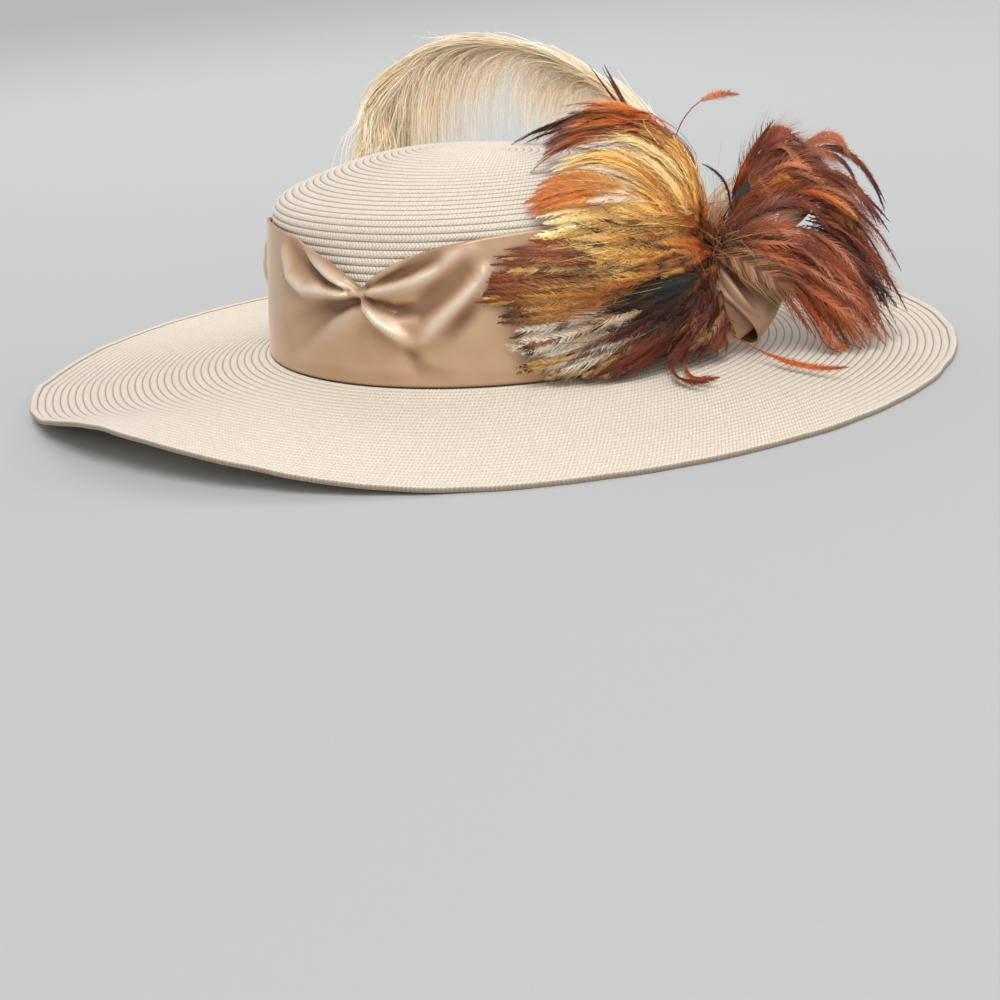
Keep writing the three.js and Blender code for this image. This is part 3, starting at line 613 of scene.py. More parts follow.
featherColours = {
    # four colours from the quill's foot to the tip, then the barbs' ends and the quill
    "gold": ("#B8661E", "#E2A24C", "#F4C464", "#FFDC86", "#FFECBC", "#CC8A38"),
    "yellow": ("#D09040", "#F6C86C", "#FFDC96", "#FFE8B4", "#FFF4DA", "#E2AC54"),
    "amber": ("#A44C14", "#D48634", "#E8A64E", "#ECB466", "#F8D08C", "#8C461A"),
    "orange": ("#D29040", "#E0903C", "#DE8034", "#CC6A2A", "#F0AE66", "#B25C1C"),
    "rust": ("#6C2810", "#A04A20", "#BC6430", "#904020", "#DC8C5C", "#4E2210"),
    "ember": ("#963A0E", "#CC5C18", "#DE7C28", "#DA842E", "#F2A650", "#8A3A12"),
    "pale": ("#DCB47C", "#E8CCA8", "#F4E0CC", "#E8C6A6", "#FCEADA", "#CC9E6A"),
    "cream": ("#E0B870", "#F6E2AC", "#FFF6DC", "#FAEEC8", "#FFFAE8", "#ECCC94"),
    "streaked": ("#80481C", "#BE8A40", "#D4A658", "#DAAE60", "#F0D090", "#4A240E"),
    "mauve": ("#9C6240", "#B87650", "#AC6444", "#86462A", "#D8A27C", "#66301A"),
    "blackTip": ("#AC662A", "#D08E40", "#A4662E", "#1E120C", "#DCA25A", "#4A260E"),
    "white": ("#B08A60", "#E6D2B8", "#FCF0DE", "#EED8BA", "#FFF8EC", "#6A4C34"),
    "black": ("#40200F", "#24130C", "#160F0B", "#341A10", "#5C2E18", "#100B08"),
    "slate": ("#20221C", "#2C322A", "#283029", "#1E221E", "#38403A", "#141614"),
    "brown": ("#5C2A12", "#904E20", "#A6622A", "#7C3E18", "#C68A48", "#361A0A"),
    "darkRust": ("#3A160C", "#6E2C18", "#8A3E22", "#4E2014", "#B86442", "#220E08"),
    "copper": ("#6A3220", "#AE623E", "#D2825A", "#A65C3A", "#F0B690", "#4A2212"),
    "tan": ("#805430", "#A8784A", "#966640", "#724624", "#BC9060", "#502E16"),
}
# bars across a feather: how many, their share of the way and their colour
featherBars = {"streaked": (2.2, 0.3, "#42200F"), "white": (1.2, 0.16, "#54341F"),
               "brown": (2.6, 0.3, "#301809"), "tan": (5.0, 0.3, "#5C341C")}
vaneSet = {"fluff": 0.3, "quill": 0.3 * mm, "least": 0.1 * mm, "quillTint": 0.6, "chevron": 1.3}
# how barbs stand along the quill and vary, and what each has at its elbow of its way out and ahead,
# its sag and its width
barbSet = {"last": 0.985, "stray": 0.012, "reach": (0.72, 1.12), "least": 0.12, "ahead": (0.8, 1.25),
           "thick": (0.7, 1.3), "shade": (0.72, 1.25), "ownTint": 0.45}
elbow = {"out": 0.62, "ahead": 0.34, "sag": 0.3, "width": 0.8}


def vaneShape(share, fluff, bare):
    # half width along a feather: past its bare quill it swells, then runs out to a point
    share = np.clip((share - bare) / (1 - bare), 0, 1)
    return (fluff + (1 - fluff) * softStep(share, 0, 0.32)) * (1 - share ** 2.4) ** 0.75


def tintAt(stops, share):
    return np.stack([np.interp(share, evenly(len(stops)), channel) for channel in np.transpose(stops)], -1)


def stripTriangles(count, rows, columns):
    # the triangles of many equal grids, one after another
    quads = (gridFaces(rows, columns) + (np.arange(count) * rows * columns)[:, None, None]).reshape(-1, 4)
    return np.concatenate([quads[:, [0, 1, 2]], quads[:, [0, 2, 3]]])


def joined(groups):
    # points, triangles, tints and uv of several groups as one
    points, triangles, tints, uv = zip(*groups)
    starts = np.cumsum([0] + [len(part) for part in points])
    triangles = [part + start for part, start in zip(triangles, starts)]
    return [np.concatenate(parts) for parts in (points, triangles, tints, uv)]


def growFeathers(middles, facing, colour, width, barbs, strand, vane, cup, roll, bare, fluff, ahead, mess):
    # middles are feathers by steps by 3; width and strand, a barb's half width, are in mm
    count, steps = middles.shape[:2]
    *stops, ends, quill = (linearColour(code)[:3] for code in featherColours[colour])
    tangent = spread(np.gradient(middles, axis=1))
    side = spread(np.cross(tangent, facing))
    face = np.cross(side, tangent)
    turn = rng.normal(0, roll, (count, 1, 1))
    side, face = side * np.cos(turn) + face * np.sin(turn), face * np.cos(turn) - side * np.sin(turn)
    length = np.linalg.norm(np.diff(middles, axis=1), axis=2).sum(1)[:, None]
    halfWidth = width * mm / 2 * rng.uniform(0.8, 1.2, count)[:, None]
    gain = rng.uniform(0.7, 1.2, (count, 1, 1, 1))

    # the vane beside the quill: three points across, its edges a little lower
    share = evenly(steps)
    core = np.maximum(vaneShape(share, vaneSet["fluff"], bare) * halfWidth * vane, vaneSet["least"])
    offset = np.where(share < bare, vaneSet["quill"], core)[..., None] * np.array([1.0, 0.0, -1.0])
    sunk = face[:, :, None] * (np.abs(offset) * cup)[..., None]
    blade = middles[:, :, None] + side[:, :, None] * offset[..., None] - sunk
    body = np.tile(tintAt(stops, share)[:, None], (count, 1, 3, 1))
    body[:, :, 1] = (1 - vaneSet["quillTint"]) * body[:, :, 1] + vaneSet["quillTint"] * quill
    chevron = (share * length)[..., None] / mm - np.abs(offset) / mm * vaneSet["chevron"]
    bladeUv = np.stack([offset / mm, chevron + np.arange(count)[:, None, None] * 7.3], -1)

    # barbs: each leaves the quill sideways and bends forward, and thins to a point
    foot = rng.normal(0, barbSet["stray"], (count, barbs, 2))
    foot = foot + np.linspace(bare, barbSet["last"], barbs)[:, None]
    foot = np.clip(foot, 0, 0.999)
    low = np.minimum((foot * (steps - 1)).astype(int), steps - 2)
    part = (foot * (steps - 1) - low)[..., None]
    each = np.arange(count)[:, None, None]
    root, way, sideways, up = (field[each, low] * (1 - part) + field[each, low + 1] * part
                               for field in (middles, tangent, side, face))
    sign = np.array([[1.0], [-1.0]])
    halfWidth = halfWidth[..., None]
    reach = vaneShape(foot, fluff, bare) * halfWidth * rng.uniform(*barbSet["reach"], foot.shape)
    reach = np.maximum(reach, barbSet["least"] * halfWidth)[..., None]
    out = sign * sideways
    forward = ahead * rng.uniform(*barbSet["ahead"], foot.shape)[..., None] * way
    sag = (cup + rng.normal(0, mess, foot.shape))[..., None] * up
    bend = root + reach * (elbow["out"] * out + elbow["ahead"] * forward - elbow["sag"] * sag)
    thick = way * sign * (strand * mm * rng.uniform(*barbSet["thick"], foot.shape))[..., None]
    thin = elbow["width"] * thick
    end = root + reach * (out + forward - sag)
    strands = np.stack([root - thick, root + thick, bend - thin, bend + thin, end], 3)
    tint = tintAt(stops, foot)
    if colour in featherBars:
        often, dark, code = featherBars[colour]
        wave = np.sin(2 * math.pi * (foot * often + rng.uniform(0, 1, (count, 1, 1))))
        bar = softStep(wave, 1 - 2 * dark, 1.3 - 2 * dark)[..., None]
        tint = tint * (1 - bar) + linearColour(code)[:3] * bar
    tint = tint * gain * rng.uniform(*barbSet["shade"], foot.shape)[..., None]
    tips = (1 - barbSet["ownTint"]) * ends * gain + barbSet["ownTint"] * tint
    shades = np.stack([tint] * 4 + [tips], 3)
    start = 11.7 * rng.uniform(0, 40, foot.shape)[..., None]
    strandUv = np.stack([reach / mm * np.array([0, 0, 0.6, 0.6, 1]),
                         start + np.array([0, 1.6, 0, 1.3, 0.7])], -1)
    first = (np.arange(foot.size) * 5)[:, None]
    triangles = np.concatenate([first + corners for corners in ([0, 2, 3], [0, 3, 1], [2, 4, 3])])
    body = (body * gain).reshape(-1, 3)
    return joined((
        (blade.reshape(-1, 3), stripTriangles(count, steps, 3), body, bladeUv.reshape(-1, 2)),
        (strands.reshape(-1, 3), triangles, shades.reshape(-1, 3), strandUv.reshape(-1, 2))))


def addFeathers(name, groups, material, node):
    points, triangles, tints, uv = joined(groups)
    tints = np.append(np.clip(tints, 0, 1), np.ones((len(tints), 1)), 1)
    addPiece(name, clearOfBrim(points, 0.2 * mm), [triangles], material, node, uv, tints)


def featherMaterial(name, gloss, sheen, low, high):
    # barbs are fine glossy hairs side by side, so the colour breaks into fine lines across them: partly the
    # barbs' own tone and partly painted highlight and painted shade for their gloss, the brightest lines
    # lifting the colour past its own;
    # the hairs are drawn coarser than real ones
    material, tree, shader = newMaterial(name, {
        "Roughness": gloss, "Sheen Weight": sheen, "IOR": 1.54, "Specular IOR Level": 0.35})
    tint = addNode(tree, "Attribute", attribute_name="tint")
    pattern = addNode(tree, "UVMap", uv_map="pattern")
    hairs = addNode(tree, "Mapping", {"Vector": pattern, "Scale": (0.12, 1.5, 1.0)})
    lines = addNode(tree, "TexNoise", {"Vector": hairs, "Scale": 1.0, "Detail": 3.0})
    toneAndPaintedGloss = addNode(tree, "MapRange", {0: lines, 1: 0.32, 2: 0.68, 3: low, 4: high})
    shade = addNode(tree, "VectorMath", {0: tint, "Scale": toneAndPaintedGloss}, operation="SCALE")
    bump = addNode(tree, "Bump", {"Strength": 0.5, "Distance": 0.0002, "Height": lines})
    tree.links.new(shade.outputs[0], shader.inputs["Base Color"])
    tree.links.new(bump.outputs[0], shader.inputs["Normal"])
    return material


def betweenRows(table, row):
    # each column of the table at a row number, on straight lines that also run on past its ends
    table = np.array(table)
    low = np.clip(np.floor(row), 0, len(table) - 2).astype(int)
    part = (row - low)[:, None]
    return (table[low] * (1 - part) + table[low + 1] * part).T[..., None]


def quadratic(start, bend, end, share):
    return (1 - share) ** 2 * start + 2 * share * (1 - share) * bend + share ** 2 * end


def crownLock(fan, row, share, lift):
    # places on a lock between two of the fan's locks: quadratic curves of angle, run and lift
    along, up, sweep, tipLift, arch = betweenRows(fan["locks"], row)
    angle, run, high = fan["root"]
    reach, tall = hackleSet["reach"], hackleSet["lift"]
    endAngle = angle + np.degrees(along * reach / hat["halfLength"])
    endRun, endLift = run + up * reach, tipLift * tall
    angles = quadratic(angle, (angle + endAngle) / 2, endAngle, share)
    runs = quadratic(run, (run + endRun) / 2 + sweep * reach, endRun, share)
    lifts = lift + quadratic(high, np.maximum(high, endLift) + arch * tall, endLift, share)
    where = crownPoint(angles, runs, lifts)
    return where, spread(crownPoint(angles, runs, lifts + mm) - where)


def besideLock(fan, row, share, lift, drift, lowest=-np.inf):
    # places that drift from a lock towards the next
    middles, facing = crownLock(fan, row, share, np.maximum(lift, lowest))
    beside, _ = crownLock(fan, row + 0.5, share, lift)
    return middles + (beside - middles) * drift[..., None], facing


def fanFeathers(fan, count, rows, starts, lengths, width, colour, stack, stray):
    # feathers lie like shingles along the locks; those that start near the root lie on top
    row = rng.uniform(*rows, count)
    start, length = rng.uniform(*starts, (count, 1)), rng.uniform(*lengths, (count, 1))
    steps = evenly(9)
    rise = (stack + rng.normal(0, 0.9, (count, 1))) * mm * (1 - 0.6 * steps) + stray * mm * steps ** 2
    drift = rng.normal(0, 0.45, (count, 1)) * steps
    middles, facing = besideLock(fan, row, start + length * steps, rise, drift)
    return growFeathers(middles, facing, colour, width, barbs=46, strand=0.3, vane=0.4, cup=0.3, roll=0.4,
                        bare=0.03, fluff=0.7, ahead=2.3, mess=0.2)


hackleSet = {
    "reach": 100 * mm, "lift": 20 * mm,
    # the locks of each fan: along, up, sweep, lift of the tip, arch
    "gold": {"root": (12, 48 * mm, 14 * mm), "locks": (
        (-0.9, 0.04, 0.08, 0.2, 0.2), (-0.85, 0.15, 0.1, 0.2, 0.25), (-0.78, 0.25, 0.1, 0.25, 0.35),
        (-0.66, 0.36, 0.08, 0.35, 0.5), (-0.46, 0.46, 0.04, 0.55, 0.7), (-0.21, 0.5, 0, 1, 0.7))},
    "brown": {"root": (10, 31.2 * mm, 15 * mm), "locks": (
        (-0.94, 0.14, 0.06, 0.2, 0.15), (-0.99, 0.05, 0.03, 0.2, 0.2), (-0.96, -0.05, 0, 0.25, 0.2),
        (-0.92, -0.17, 0, 0.3, 0.2), (-0.81, -0.27, -0.02, 0.4, 0.2), (-0.57, -0.3, -0.04, 0.7, 0.2),
        (-0.25, -0.31, -0.04, 1, 0.15))},
    "middle": {"root": (11.5, 39 * mm, 16 * mm), "locks": (
        (-0.9, 0.12, 0.06, 0.25, 0.2), (-0.95, 0.06, 0.03, 0.25, 0.2), (-0.96, 0, 0, 0.3, 0.25))},
    "tuft": {"root": (21, 56.4 * mm, 6.3 * mm), "locks": (
        (0.48, 0.51, 0, 0.4, 0.8), (0.73, 0.61, 0, 0.2, 0.8), (0.94, 0.47, 0, 0.35, 0.8))},
}
# each row: how many, rows of the fan, starts, lengths, width in mm, colour, how high it lies, stray
goldBatches = (
    (60, (-0.7, 3.1), (0.02, 0.3), (0.6, 0.74), 8, "gold", 0.5, 0.0),
    (18, (4.3, 5.2), (0.02, 0.3), (0.5, 0.66), 8, "gold", 0.5, 0.0),
    (24, (3.0, 4.4), (0.0, 0.12), (0.38, 0.48), 8, "gold", 0.5, 0.0),
    (54, (-0.2, 3.1), (0.1, 0.45), (0.42, 0.56), 8, "yellow", 1.4, 0.0),
    (14, (4.3, 5.1), (0.1, 0.4), (0.36, 0.5), 8, "yellow", 1.4, 0.0),
    (20, (3.0, 4.6), (0.0, 0.16), (0.3, 0.4), 8, "yellow", 1.8, 0.0),
    (34, (-0.8, 3.2), (0.0, 0.3), (0.36, 0.56), 8, "gold", 2.0, 0.0),
    (20, (-0.8, 5.2), (0.0, 0.14), (0.24, 0.42), 8, "amber", 2.6, 0.0),
    (30, (-0.8, 5.2), (0.0, 0.06), (0.12, 0.24), 7, "ember", 3.2, 0.0),
    (30, (-1.0, 0.9), (0.1, 0.5), (0.3, 0.42), 7, "streaked", 2.4, 0.0),
    (16, (0.8, 1.8), (0.5, 0.64), (0.38, 0.46), 7, "orange", 2.8, 0.0),
    (9, (1.5, 2.2), (0.4, 0.52), (0.28, 0.36), 7, "pale", 3.2, 0.0),
    (12, (3.75, 4.2), (0.3, 0.45), (0.4, 0.5), 7, "cream", 3.2, 0.0),
    (34, (3.95, 5.2), (0.5, 0.7), (0.5, 0.62), 8, "darkRust", 1.0, 1.0),
    (40, (4.0, 5.3), (0.4, 0.68), (0.4, 0.5), 7, "ember", 2.8, 0.5),
    (12, (4.3, 5.2), (0.45, 0.62), (0.36, 0.44), 7, "orange", 3.4, 0.5),
    (14, (4.1, 4.9), (0.5, 0.7), (0.4, 0.5), 7, "rust", 2.9, 0.5),
    (10, (4.2, 5.0), (0.6, 0.8), (0.36, 0.44), 6, "black", 2.2, 0.5),
)
middleBatches = (
    (34, (-0.5, 2.5), (0.0, 0.3), (0.4, 0.6), 8, "streaked", 1.0, 0.0),
    (26, (-0.5, 2.5), (0.1, 0.4), (0.35, 0.5), 8, "gold", 1.6, 0.0),
    (20, (-1.0, 3.0), (0.0, 0.12), (0.2, 0.36), 8, "amber", 2.6, 0.0),
    (24, (-1.5, 3.5), (0.0, 0.06), (0.12, 0.26), 7, "ember", 3.2, 0.0),
    (9, (-0.6, 2.4), (0.06, 0.35), (0.22, 0.32), 4, "brown", 3.4, 0.5),
)
brownBatches = (
    (110, (-0.8, 6.3), (0.02, 0.3), (0.55, 0.72), 8, "brown", 0.4, 0.0),
    (22, (-1.4, 1.0), (0.54, 0.72), (0.36, 0.46), 6, "mauve", 1.4, 0.0),
    (14, (-1.2, 1.2), (0.5, 0.7), (0.36, 0.44), 6, "rust", 1.8, 0.5),
    (12, (-1.2, 1.6), (0.5, 0.7), (0.34, 0.44), 6, "streaked", 2.2, 0.5),
    (24, (-1.0, 1.4), (0.15, 0.5), (0.35, 0.46), 8, "streaked", 2.4, 0.0),
    (40, (0.4, 3), (0.36, 0.62), (0.35, 0.48), 8, "blackTip", 2.2, 0.0),
    (34, (0.9, 3.0), (0.28, 0.62), (0.32, 0.42), 7, "amber", 3.0, 0.0),
    (30, (2.3, 4.0), (0.42, 0.66), (0.32, 0.42), 9, "white", 3.4, 0.0),
    (10, (2.2, 4.2), (0.42, 0.66), (0.34, 0.44), 6, "brown", 3.3, 0.5),
    (22, (3.6, 4.7), (0.48, 0.7), (0.36, 0.46), 7, "streaked", 2.0, 0.0),
    (12, (4.0, 4.9), (0.6, 0.74), (0.3, 0.36), 7, "streaked", 2.4, 0.0),
    (34, (1.2, 5), (0.12, 0.4), (0.26, 0.36), 10, "black", 4.4, 0.0),
    (32, (2.2, 4.7), (0.26, 0.48), (0.24, 0.32), 10, "black", 4.8, 0.0),
    (8, (3.2, 5), (0.3, 0.5), (0.26, 0.34), 6, "darkRust", 5.2, 1.0),
    (12, (1.5, 4), (0.12, 0.26), (0.22, 0.3), 9, "slate", 6.0, 0.0),
    (70, (4.4, 6.6), (0.1, 0.6), (0.4, 0.55), 7, "darkRust", 3.6, 0.0),
    (24, (3.5, 6.8), (0.2, 0.5), (0.4, 0.5), 6, "brown", 3.6, 0.5),
    (10, (4.6, 6.8), (0.15, 0.5), (0.25, 0.35), 6, "tan", 4.2, 0.5),
    (46, (-1.5, 6.5), (0.0, 0.1), (0.16, 0.3), 8, "brown", 5.0, 0.0),
)
tuftBatches = (
    (50, (-0.4, 2.4), (0.0, 0.4), (0.6, 0.76), 8, "darkRust", 0.5, 0.0),
    (34, (-0.4, 2.4), (0.1, 0.5), (0.4, 0.56), 7, "rust", 1.6, 0.0),
    (24, (-0.2, 1.8), (0.1, 0.5), (0.4, 0.5), 7, "ember", 2.4, 0.0),
    (14, (0.2, 1.8), (0.5, 0.66), (0.44, 0.54), 6, "black", 1.6, 1.0),
)


def fanHairs(fan, count, rows, codes, rise):
    # loose single barbs that lie along the locks, a little off them
    row = rng.uniform(*rows, count)
    start, length = rng.uniform(0.02, 0.7, (count, 1)), rng.uniform(0.12, 0.34, (count, 1))
    steps = evenly(6)
    lift = (rise + rng.normal(0, 1.2, (count, 1)) + rng.normal(0, 1.6, (count, 1)) * steps ** 2) * mm
    drift = rng.normal(0, 0.7, (count, 1)) * steps
    middles, _ = besideLock(fan, row, start + length * steps, lift, drift, -2 * mm)
    return strandRibbons(middles, 0.13 * mm, pickTints(codes, count, 0.7, 1.2))


def strandRibbons(curve, halfWidth, tint, facing=None):
    # flat ribbons that thin to their tips, each turned its own way unless facing is given
    count, steps = curve.shape[:2]
    way = spread(np.gradient(curve, axis=1))
    facing = rng.normal(0, 1, (count, 1, 3)) if facing is None else facing
    side = spread(np.cross(way, spread(facing)))
    thin = (1 - 0.8 * evenly(steps) ** 1.5)[:, None]
    thick = side * halfWidth * rng.uniform(0.6, 1.3, (count, 1, 1)) * thin
    points = np.stack([curve - thick, curve + thick], 2)
    tints = np.broadcast_to(tint[:, None, None], points.shape)
    across = np.array([0.0, 0.6]) + rng.uniform(0, 400, (count, 1, 1))
    uv = np.stack(np.broadcast_arrays(30 * evenly(steps)[:, None], across), -1)
    return points.reshape(-1, 3), stripTriangles(count, steps, 2), tints.reshape(-1, 3), uv.reshape(-1, 2)


def pickTints(codes, count, low, high):
    shades = np.array([linearColour(code)[:3] for code in codes])
    return shades[rng.integers(0, len(shades), count)] * rng.uniform(low, high, (count, 1))


# hackle is the long neck plumage, whose close barbs catch the light in streaks, drawn in part as painted
# highlight in the colour's fine lines
goldenHackle = featherMaterial("golden rooster hackle", 0.42, 0.1, 0.88, 1.68)
brownHackle = featherMaterial("brown rooster hackle", 0.4, 0.04, 0.5, 1.35)
goldHairs = ("#F0D48C", "#D8A44C", "#8A5424", "#5A3018")
brownHairs = ("#A87840", "#7A4420", "#2A1A12", "#B08C60")
goldGroups = [fanFeathers(hackleSet["gold"], *batch) for batch in goldBatches]
goldGroups += [fanFeathers(hackleSet["middle"], *batch) for batch in middleBatches]
goldGroups.append(fanHairs(hackleSet["gold"], 420, (-0.8, 5.3), goldHairs, 2.6))
addFeathers("gold_hackles", goldGroups, goldenHackle, "gold_hackle_fan")
brownGroups = [fanFeathers(hackleSet["brown"], *batch) for batch in brownBatches]
brownGroups.append(fanHairs(hackleSet["brown"], 500, (-0.8, 6.6), brownHairs, 3.0))
addFeathers("brown_hackles", brownGroups, brownHackle, "brown_hackle_fan")
tuftGroups = [fanFeathers(hackleSet["tuft"], *batch) for batch in tuftBatches]
tuftGroups.append(fanHairs(hackleSet["tuft"], 160, (-0.6, 2.6), brownHairs, 2.0))
addFeathers("rust_tuft", tuftGroups, brownHackle, "rust_hackle_tuft")


# coque feathers: open sprays with long loose barbs, which curl out beside the bow

coqueSet = {
    "reach": 76 * mm,
    # along, out, up, arch and how early it has gone out
    "locks": (
        (0.16, 0.24, 0.58, 0.11, 0.5), (0.41, 0.37, 0.55, 0.21, 0.5), (0.59, 0.53, 0.37, 0.37, 0.6),
        (0.63, 0.66, 0.08, 0.47, 0.65), (0.57, 0.74, -0.22, 0.45, 0.65), (0.43, 0.76, -0.46, 0.32, 0.62),
        (0.26, 0.66, -0.53, 0.18, 0.6), (0.0, 0.5, -0.5, 0.1, 0.6)),
    # how many, rows, starts, lengths, width in mm, colour, barbs, forward sweep, strand in mm,
    # spread and fall of the end in mm
    "batches": (
        (12, (0.2, 3.7), (0.05, 0.3), (0.5, 0.66), 12, "darkRust", 26, 2.8, 0.26, 3.5, 4),
        (12, (4.9, 6.5), (0.05, 0.3), (0.5, 0.66), 12, "darkRust", 26, 2.8, 0.26, 3.5, 4),
        (44, (0.4, 3.5), (0.3, 0.62), (0.4, 0.5), 9, "copper", 34, 3.4, 0.26, 4.0, 12),
        (10, (3.4, 4.6), (0.45, 0.62), (0.4, 0.5), 9, "copper", 34, 3.4, 0.26, 3.0, 6),
        (24, (4.8, 6), (0.3, 0.62), (0.4, 0.5), 9, "copper", 34, 3.4, 0.26, 3.0, 6),
        (14, (0.3, 3.6), (0.0, 0.2), (0.3, 0.45), 11, "rust", 26, 2.8, 0.26, 3.0, 2),
        (14, (4.9, 6), (0.0, 0.2), (0.3, 0.45), 11, "rust", 26, 2.8, 0.26, 3.0, 2),
        (14, (0.4, 3.4), (0.4, 0.66), (0.36, 0.46), 9, "darkRust", 36, 3.2, 0.28, 4.0, 10),
        (22, (3.2, 5.6), (0.5, 0.68), (0.36, 0.44), 9, "darkRust", 36, 3.2, 0.28, 3.0, 6),
        (14, (0.6, 3.4), (0.15, 0.5), (0.3, 0.42), 9, "ember", 30, 3.0, 0.24, 4.0, 5),
        (12, (3.3, 5), (0.0, 0.12), (0.3, 0.42), 10, "copper", 34, 3.0, 0.28, 2.0, 1),
        (8, (3.3, 5), (0.0, 0.12), (0.26, 0.36), 9, "rust", 34, 3.0, 0.28, 2.0, 1),
        (14, (4.2, 5.4), (0.4, 0.5), (0.5, 0.56), 11, "black", 36, 2.6, 0.34, 2.5, 4),
        (7, (2.6, 4.6), (0.48, 0.68), (0.32, 0.42), 9, "brown", 34, 3.0, 0.3, 3.0, 6),
        (30, (4.6, 6.6), (0.35, 0.6), (0.4, 0.5), 10, "rust", 30, 2.8, 0.26, 3.5, 6),
    ),
    "hairs": ("#8A5A38", "#5A3420", "#A87850", "#3A2218"),
}
coqueRoot = fromKnot(knotCentre, knotSet["halfWidth"] / 2, knotSet["halfWidth"], knotSet["halfHeight"] / 4)


def sprayFeathers(count, rows, starts, lengths, width, colour, barbs, ahead, strand, spreadOut, fallen):
    # a lock's curve is a quadratic from the root, bent up by its arch; each feather strays from it
    row = rng.uniform(*rows, count)
    along, out, up, arch, early = betweenRows(coqueSet["locks"], row)
    start, length = rng.uniform(*starts, (count, 1, 1)), rng.uniform(*lengths, (count, 1, 1))
    steps = evenly(9)[:, None]
    share = start + length * steps
    reach = coqueSet["reach"]
    toBend = fromKnot(0, along * early * reach, out * early * reach, (up / 2 + arch) * reach)
    toEnd = fromKnot(0, along * reach, out * reach, up * reach)
    # the stray grows along the feather, and a second one curls its end
    stray, curl = rng.normal(0, spreadOut * mm, (2, count, 1, 3))
    middles = coqueRoot + quadratic(0, toBend, toEnd, share) + stray * share
    middles = clearOfBrim(middles + (curl - fallen * mm * upward) * steps ** 2, 2 * mm)
    return growFeathers(middles, knotOut - 0.5 * knotAlong + 0.6 * upward, colour, width, barbs, strand,
                        vane=0.24, cup=0.25, roll=0.45, bare=0.05, fluff=0.55, ahead=ahead, mess=0.25)


# coque is tail plumage: long glossy barbs that part from each other, with dark gaps between
looseCoque = featherMaterial("dyed coque feather", 0.4, 0.03, 0.6, 1.6)


def singleFeather(root, bend, end, width, colour, bare, barbs, strand):
    # one feather placed as listed: a quadratic curve in mm from the knot, seen from the front right
    route = quadratic(*np.array([root, bend, end])[:, None], evenly(11)[:, None])
    middles = fromKnot(knotCentre, *(route.T * mm))[None]
    return growFeathers(middles, knotOut - 0.6 * knotAlong + 0.3 * upward, colour, width, barbs, strand,
                        vane=0.45, cup=0.2, roll=0.15, bare=bare, fluff=0.5, ahead=1.9, mess=0.15)


# root, bend, end and width in mm, colour, bare share of the quill, barbs, a barb's half width in mm
singles = (
    ((14, 10, 8), (8, 20, 30), (-30, 20, 43), 6, "black", 0.1, 40, 0.4),
    ((6, 9, 8), (-4, 24, 34), (46, 28, 27), 8, "slate", 0.35, 50, 0.4),
    ((10, 9, 10), (10, 20, 24), (58, 24, 36), 7, "darkRust", 0.3, 50, 0.4),
    ((-7, -4, 40), (-18, 8, 72), (22.5, 16, 62), 5, "copper", 0.62, 40, 0.3),
    ((-2, 9, 2), (-8, 24, 2), (0, 43, -15), 24, "tan", 0.12, 80, 0.35),
    ((6, 9, -2), (34, 36, -4), (62, 56, -44), 15, "black", 0.3, 60, 0.45),
    ((2, 9, -4), (22, 34, -10), (38, 56, -44), 13, "black", 0.35, 60, 0.45),
    ((-5, 10, -28), (-18.5, 46, -45.5), (-22, 74, -40), 6, "rust", 0.35, 50, 0.3),
    ((-12, 6, -26), (-55.5, 8, -43), (-49, 30, -38.5), 6, "rust", 0.4, 50, 0.3),
    ((-12, 4, -26), (-56.5, 0, -41), (-55, 28, -39), 5, "darkRust", 0.4, 50, 0.3),
)


def knotFeathers(count, length, width, colour):
    # short feathers that burst from the knot, mostly along the band and up or down
    turn = rng.uniform(0, 2 * math.pi, (count, 1))
    reach = rng.uniform(*length, (count, 1)) * evenly(7)
    out = 5 + (rng.uniform(7, 15, (count, 1)) - 5) * np.sin(math.pi * 0.75 * evenly(7))
    middles = fromKnot(knotCentre, reach * np.cos(turn) * mm, out * mm, reach * 0.9 * np.sin(turn) * mm)
    return growFeathers(middles, knotOut - 0.4 * knotAlong + 0.3 * upward, colour, width, barbs=34,
                        strand=0.25, vane=0.35, cup=0.3, roll=0.5, bare=0.08, fluff=0.7, ahead=2.2, mess=0.3)


def knotHairs(count):
    # tangled strands: arcs that leave the knot any way, bend twice and end in the air
    way = rng.normal(0, 1, (count, 3)) * np.array([1, 0.7, 0.9])
    way[:, 1] = np.abs(way[:, 1])
    way = spread(way) * rng.uniform(10, 34, (count, 1))
    turned = rng.normal(0, 6, (count, 3))
    t = evenly(8)[:, None]
    route = way[:, None] * t + turned[:, None] * np.sin(t * math.pi * 1.3) + np.array([2, 8, 2])
    curve = fromKnot(knotCentre, *(np.moveaxis(route, -1, 0) * mm))
    return strandRibbons(curve, 0.14 * mm, pickTints(coqueSet["hairs"], count, 0.8, 1.2))


def strayCopies(single, count, far):
    # copies of one feather, each bent and ended a little elsewhere
    root, bend, end, *rest = single
    shifts = rng.normal(0, far, (count, 2, 3))
    return [(root, bend + 0.6 * shift[0], end + shift[1], *rest) for shift in shifts]


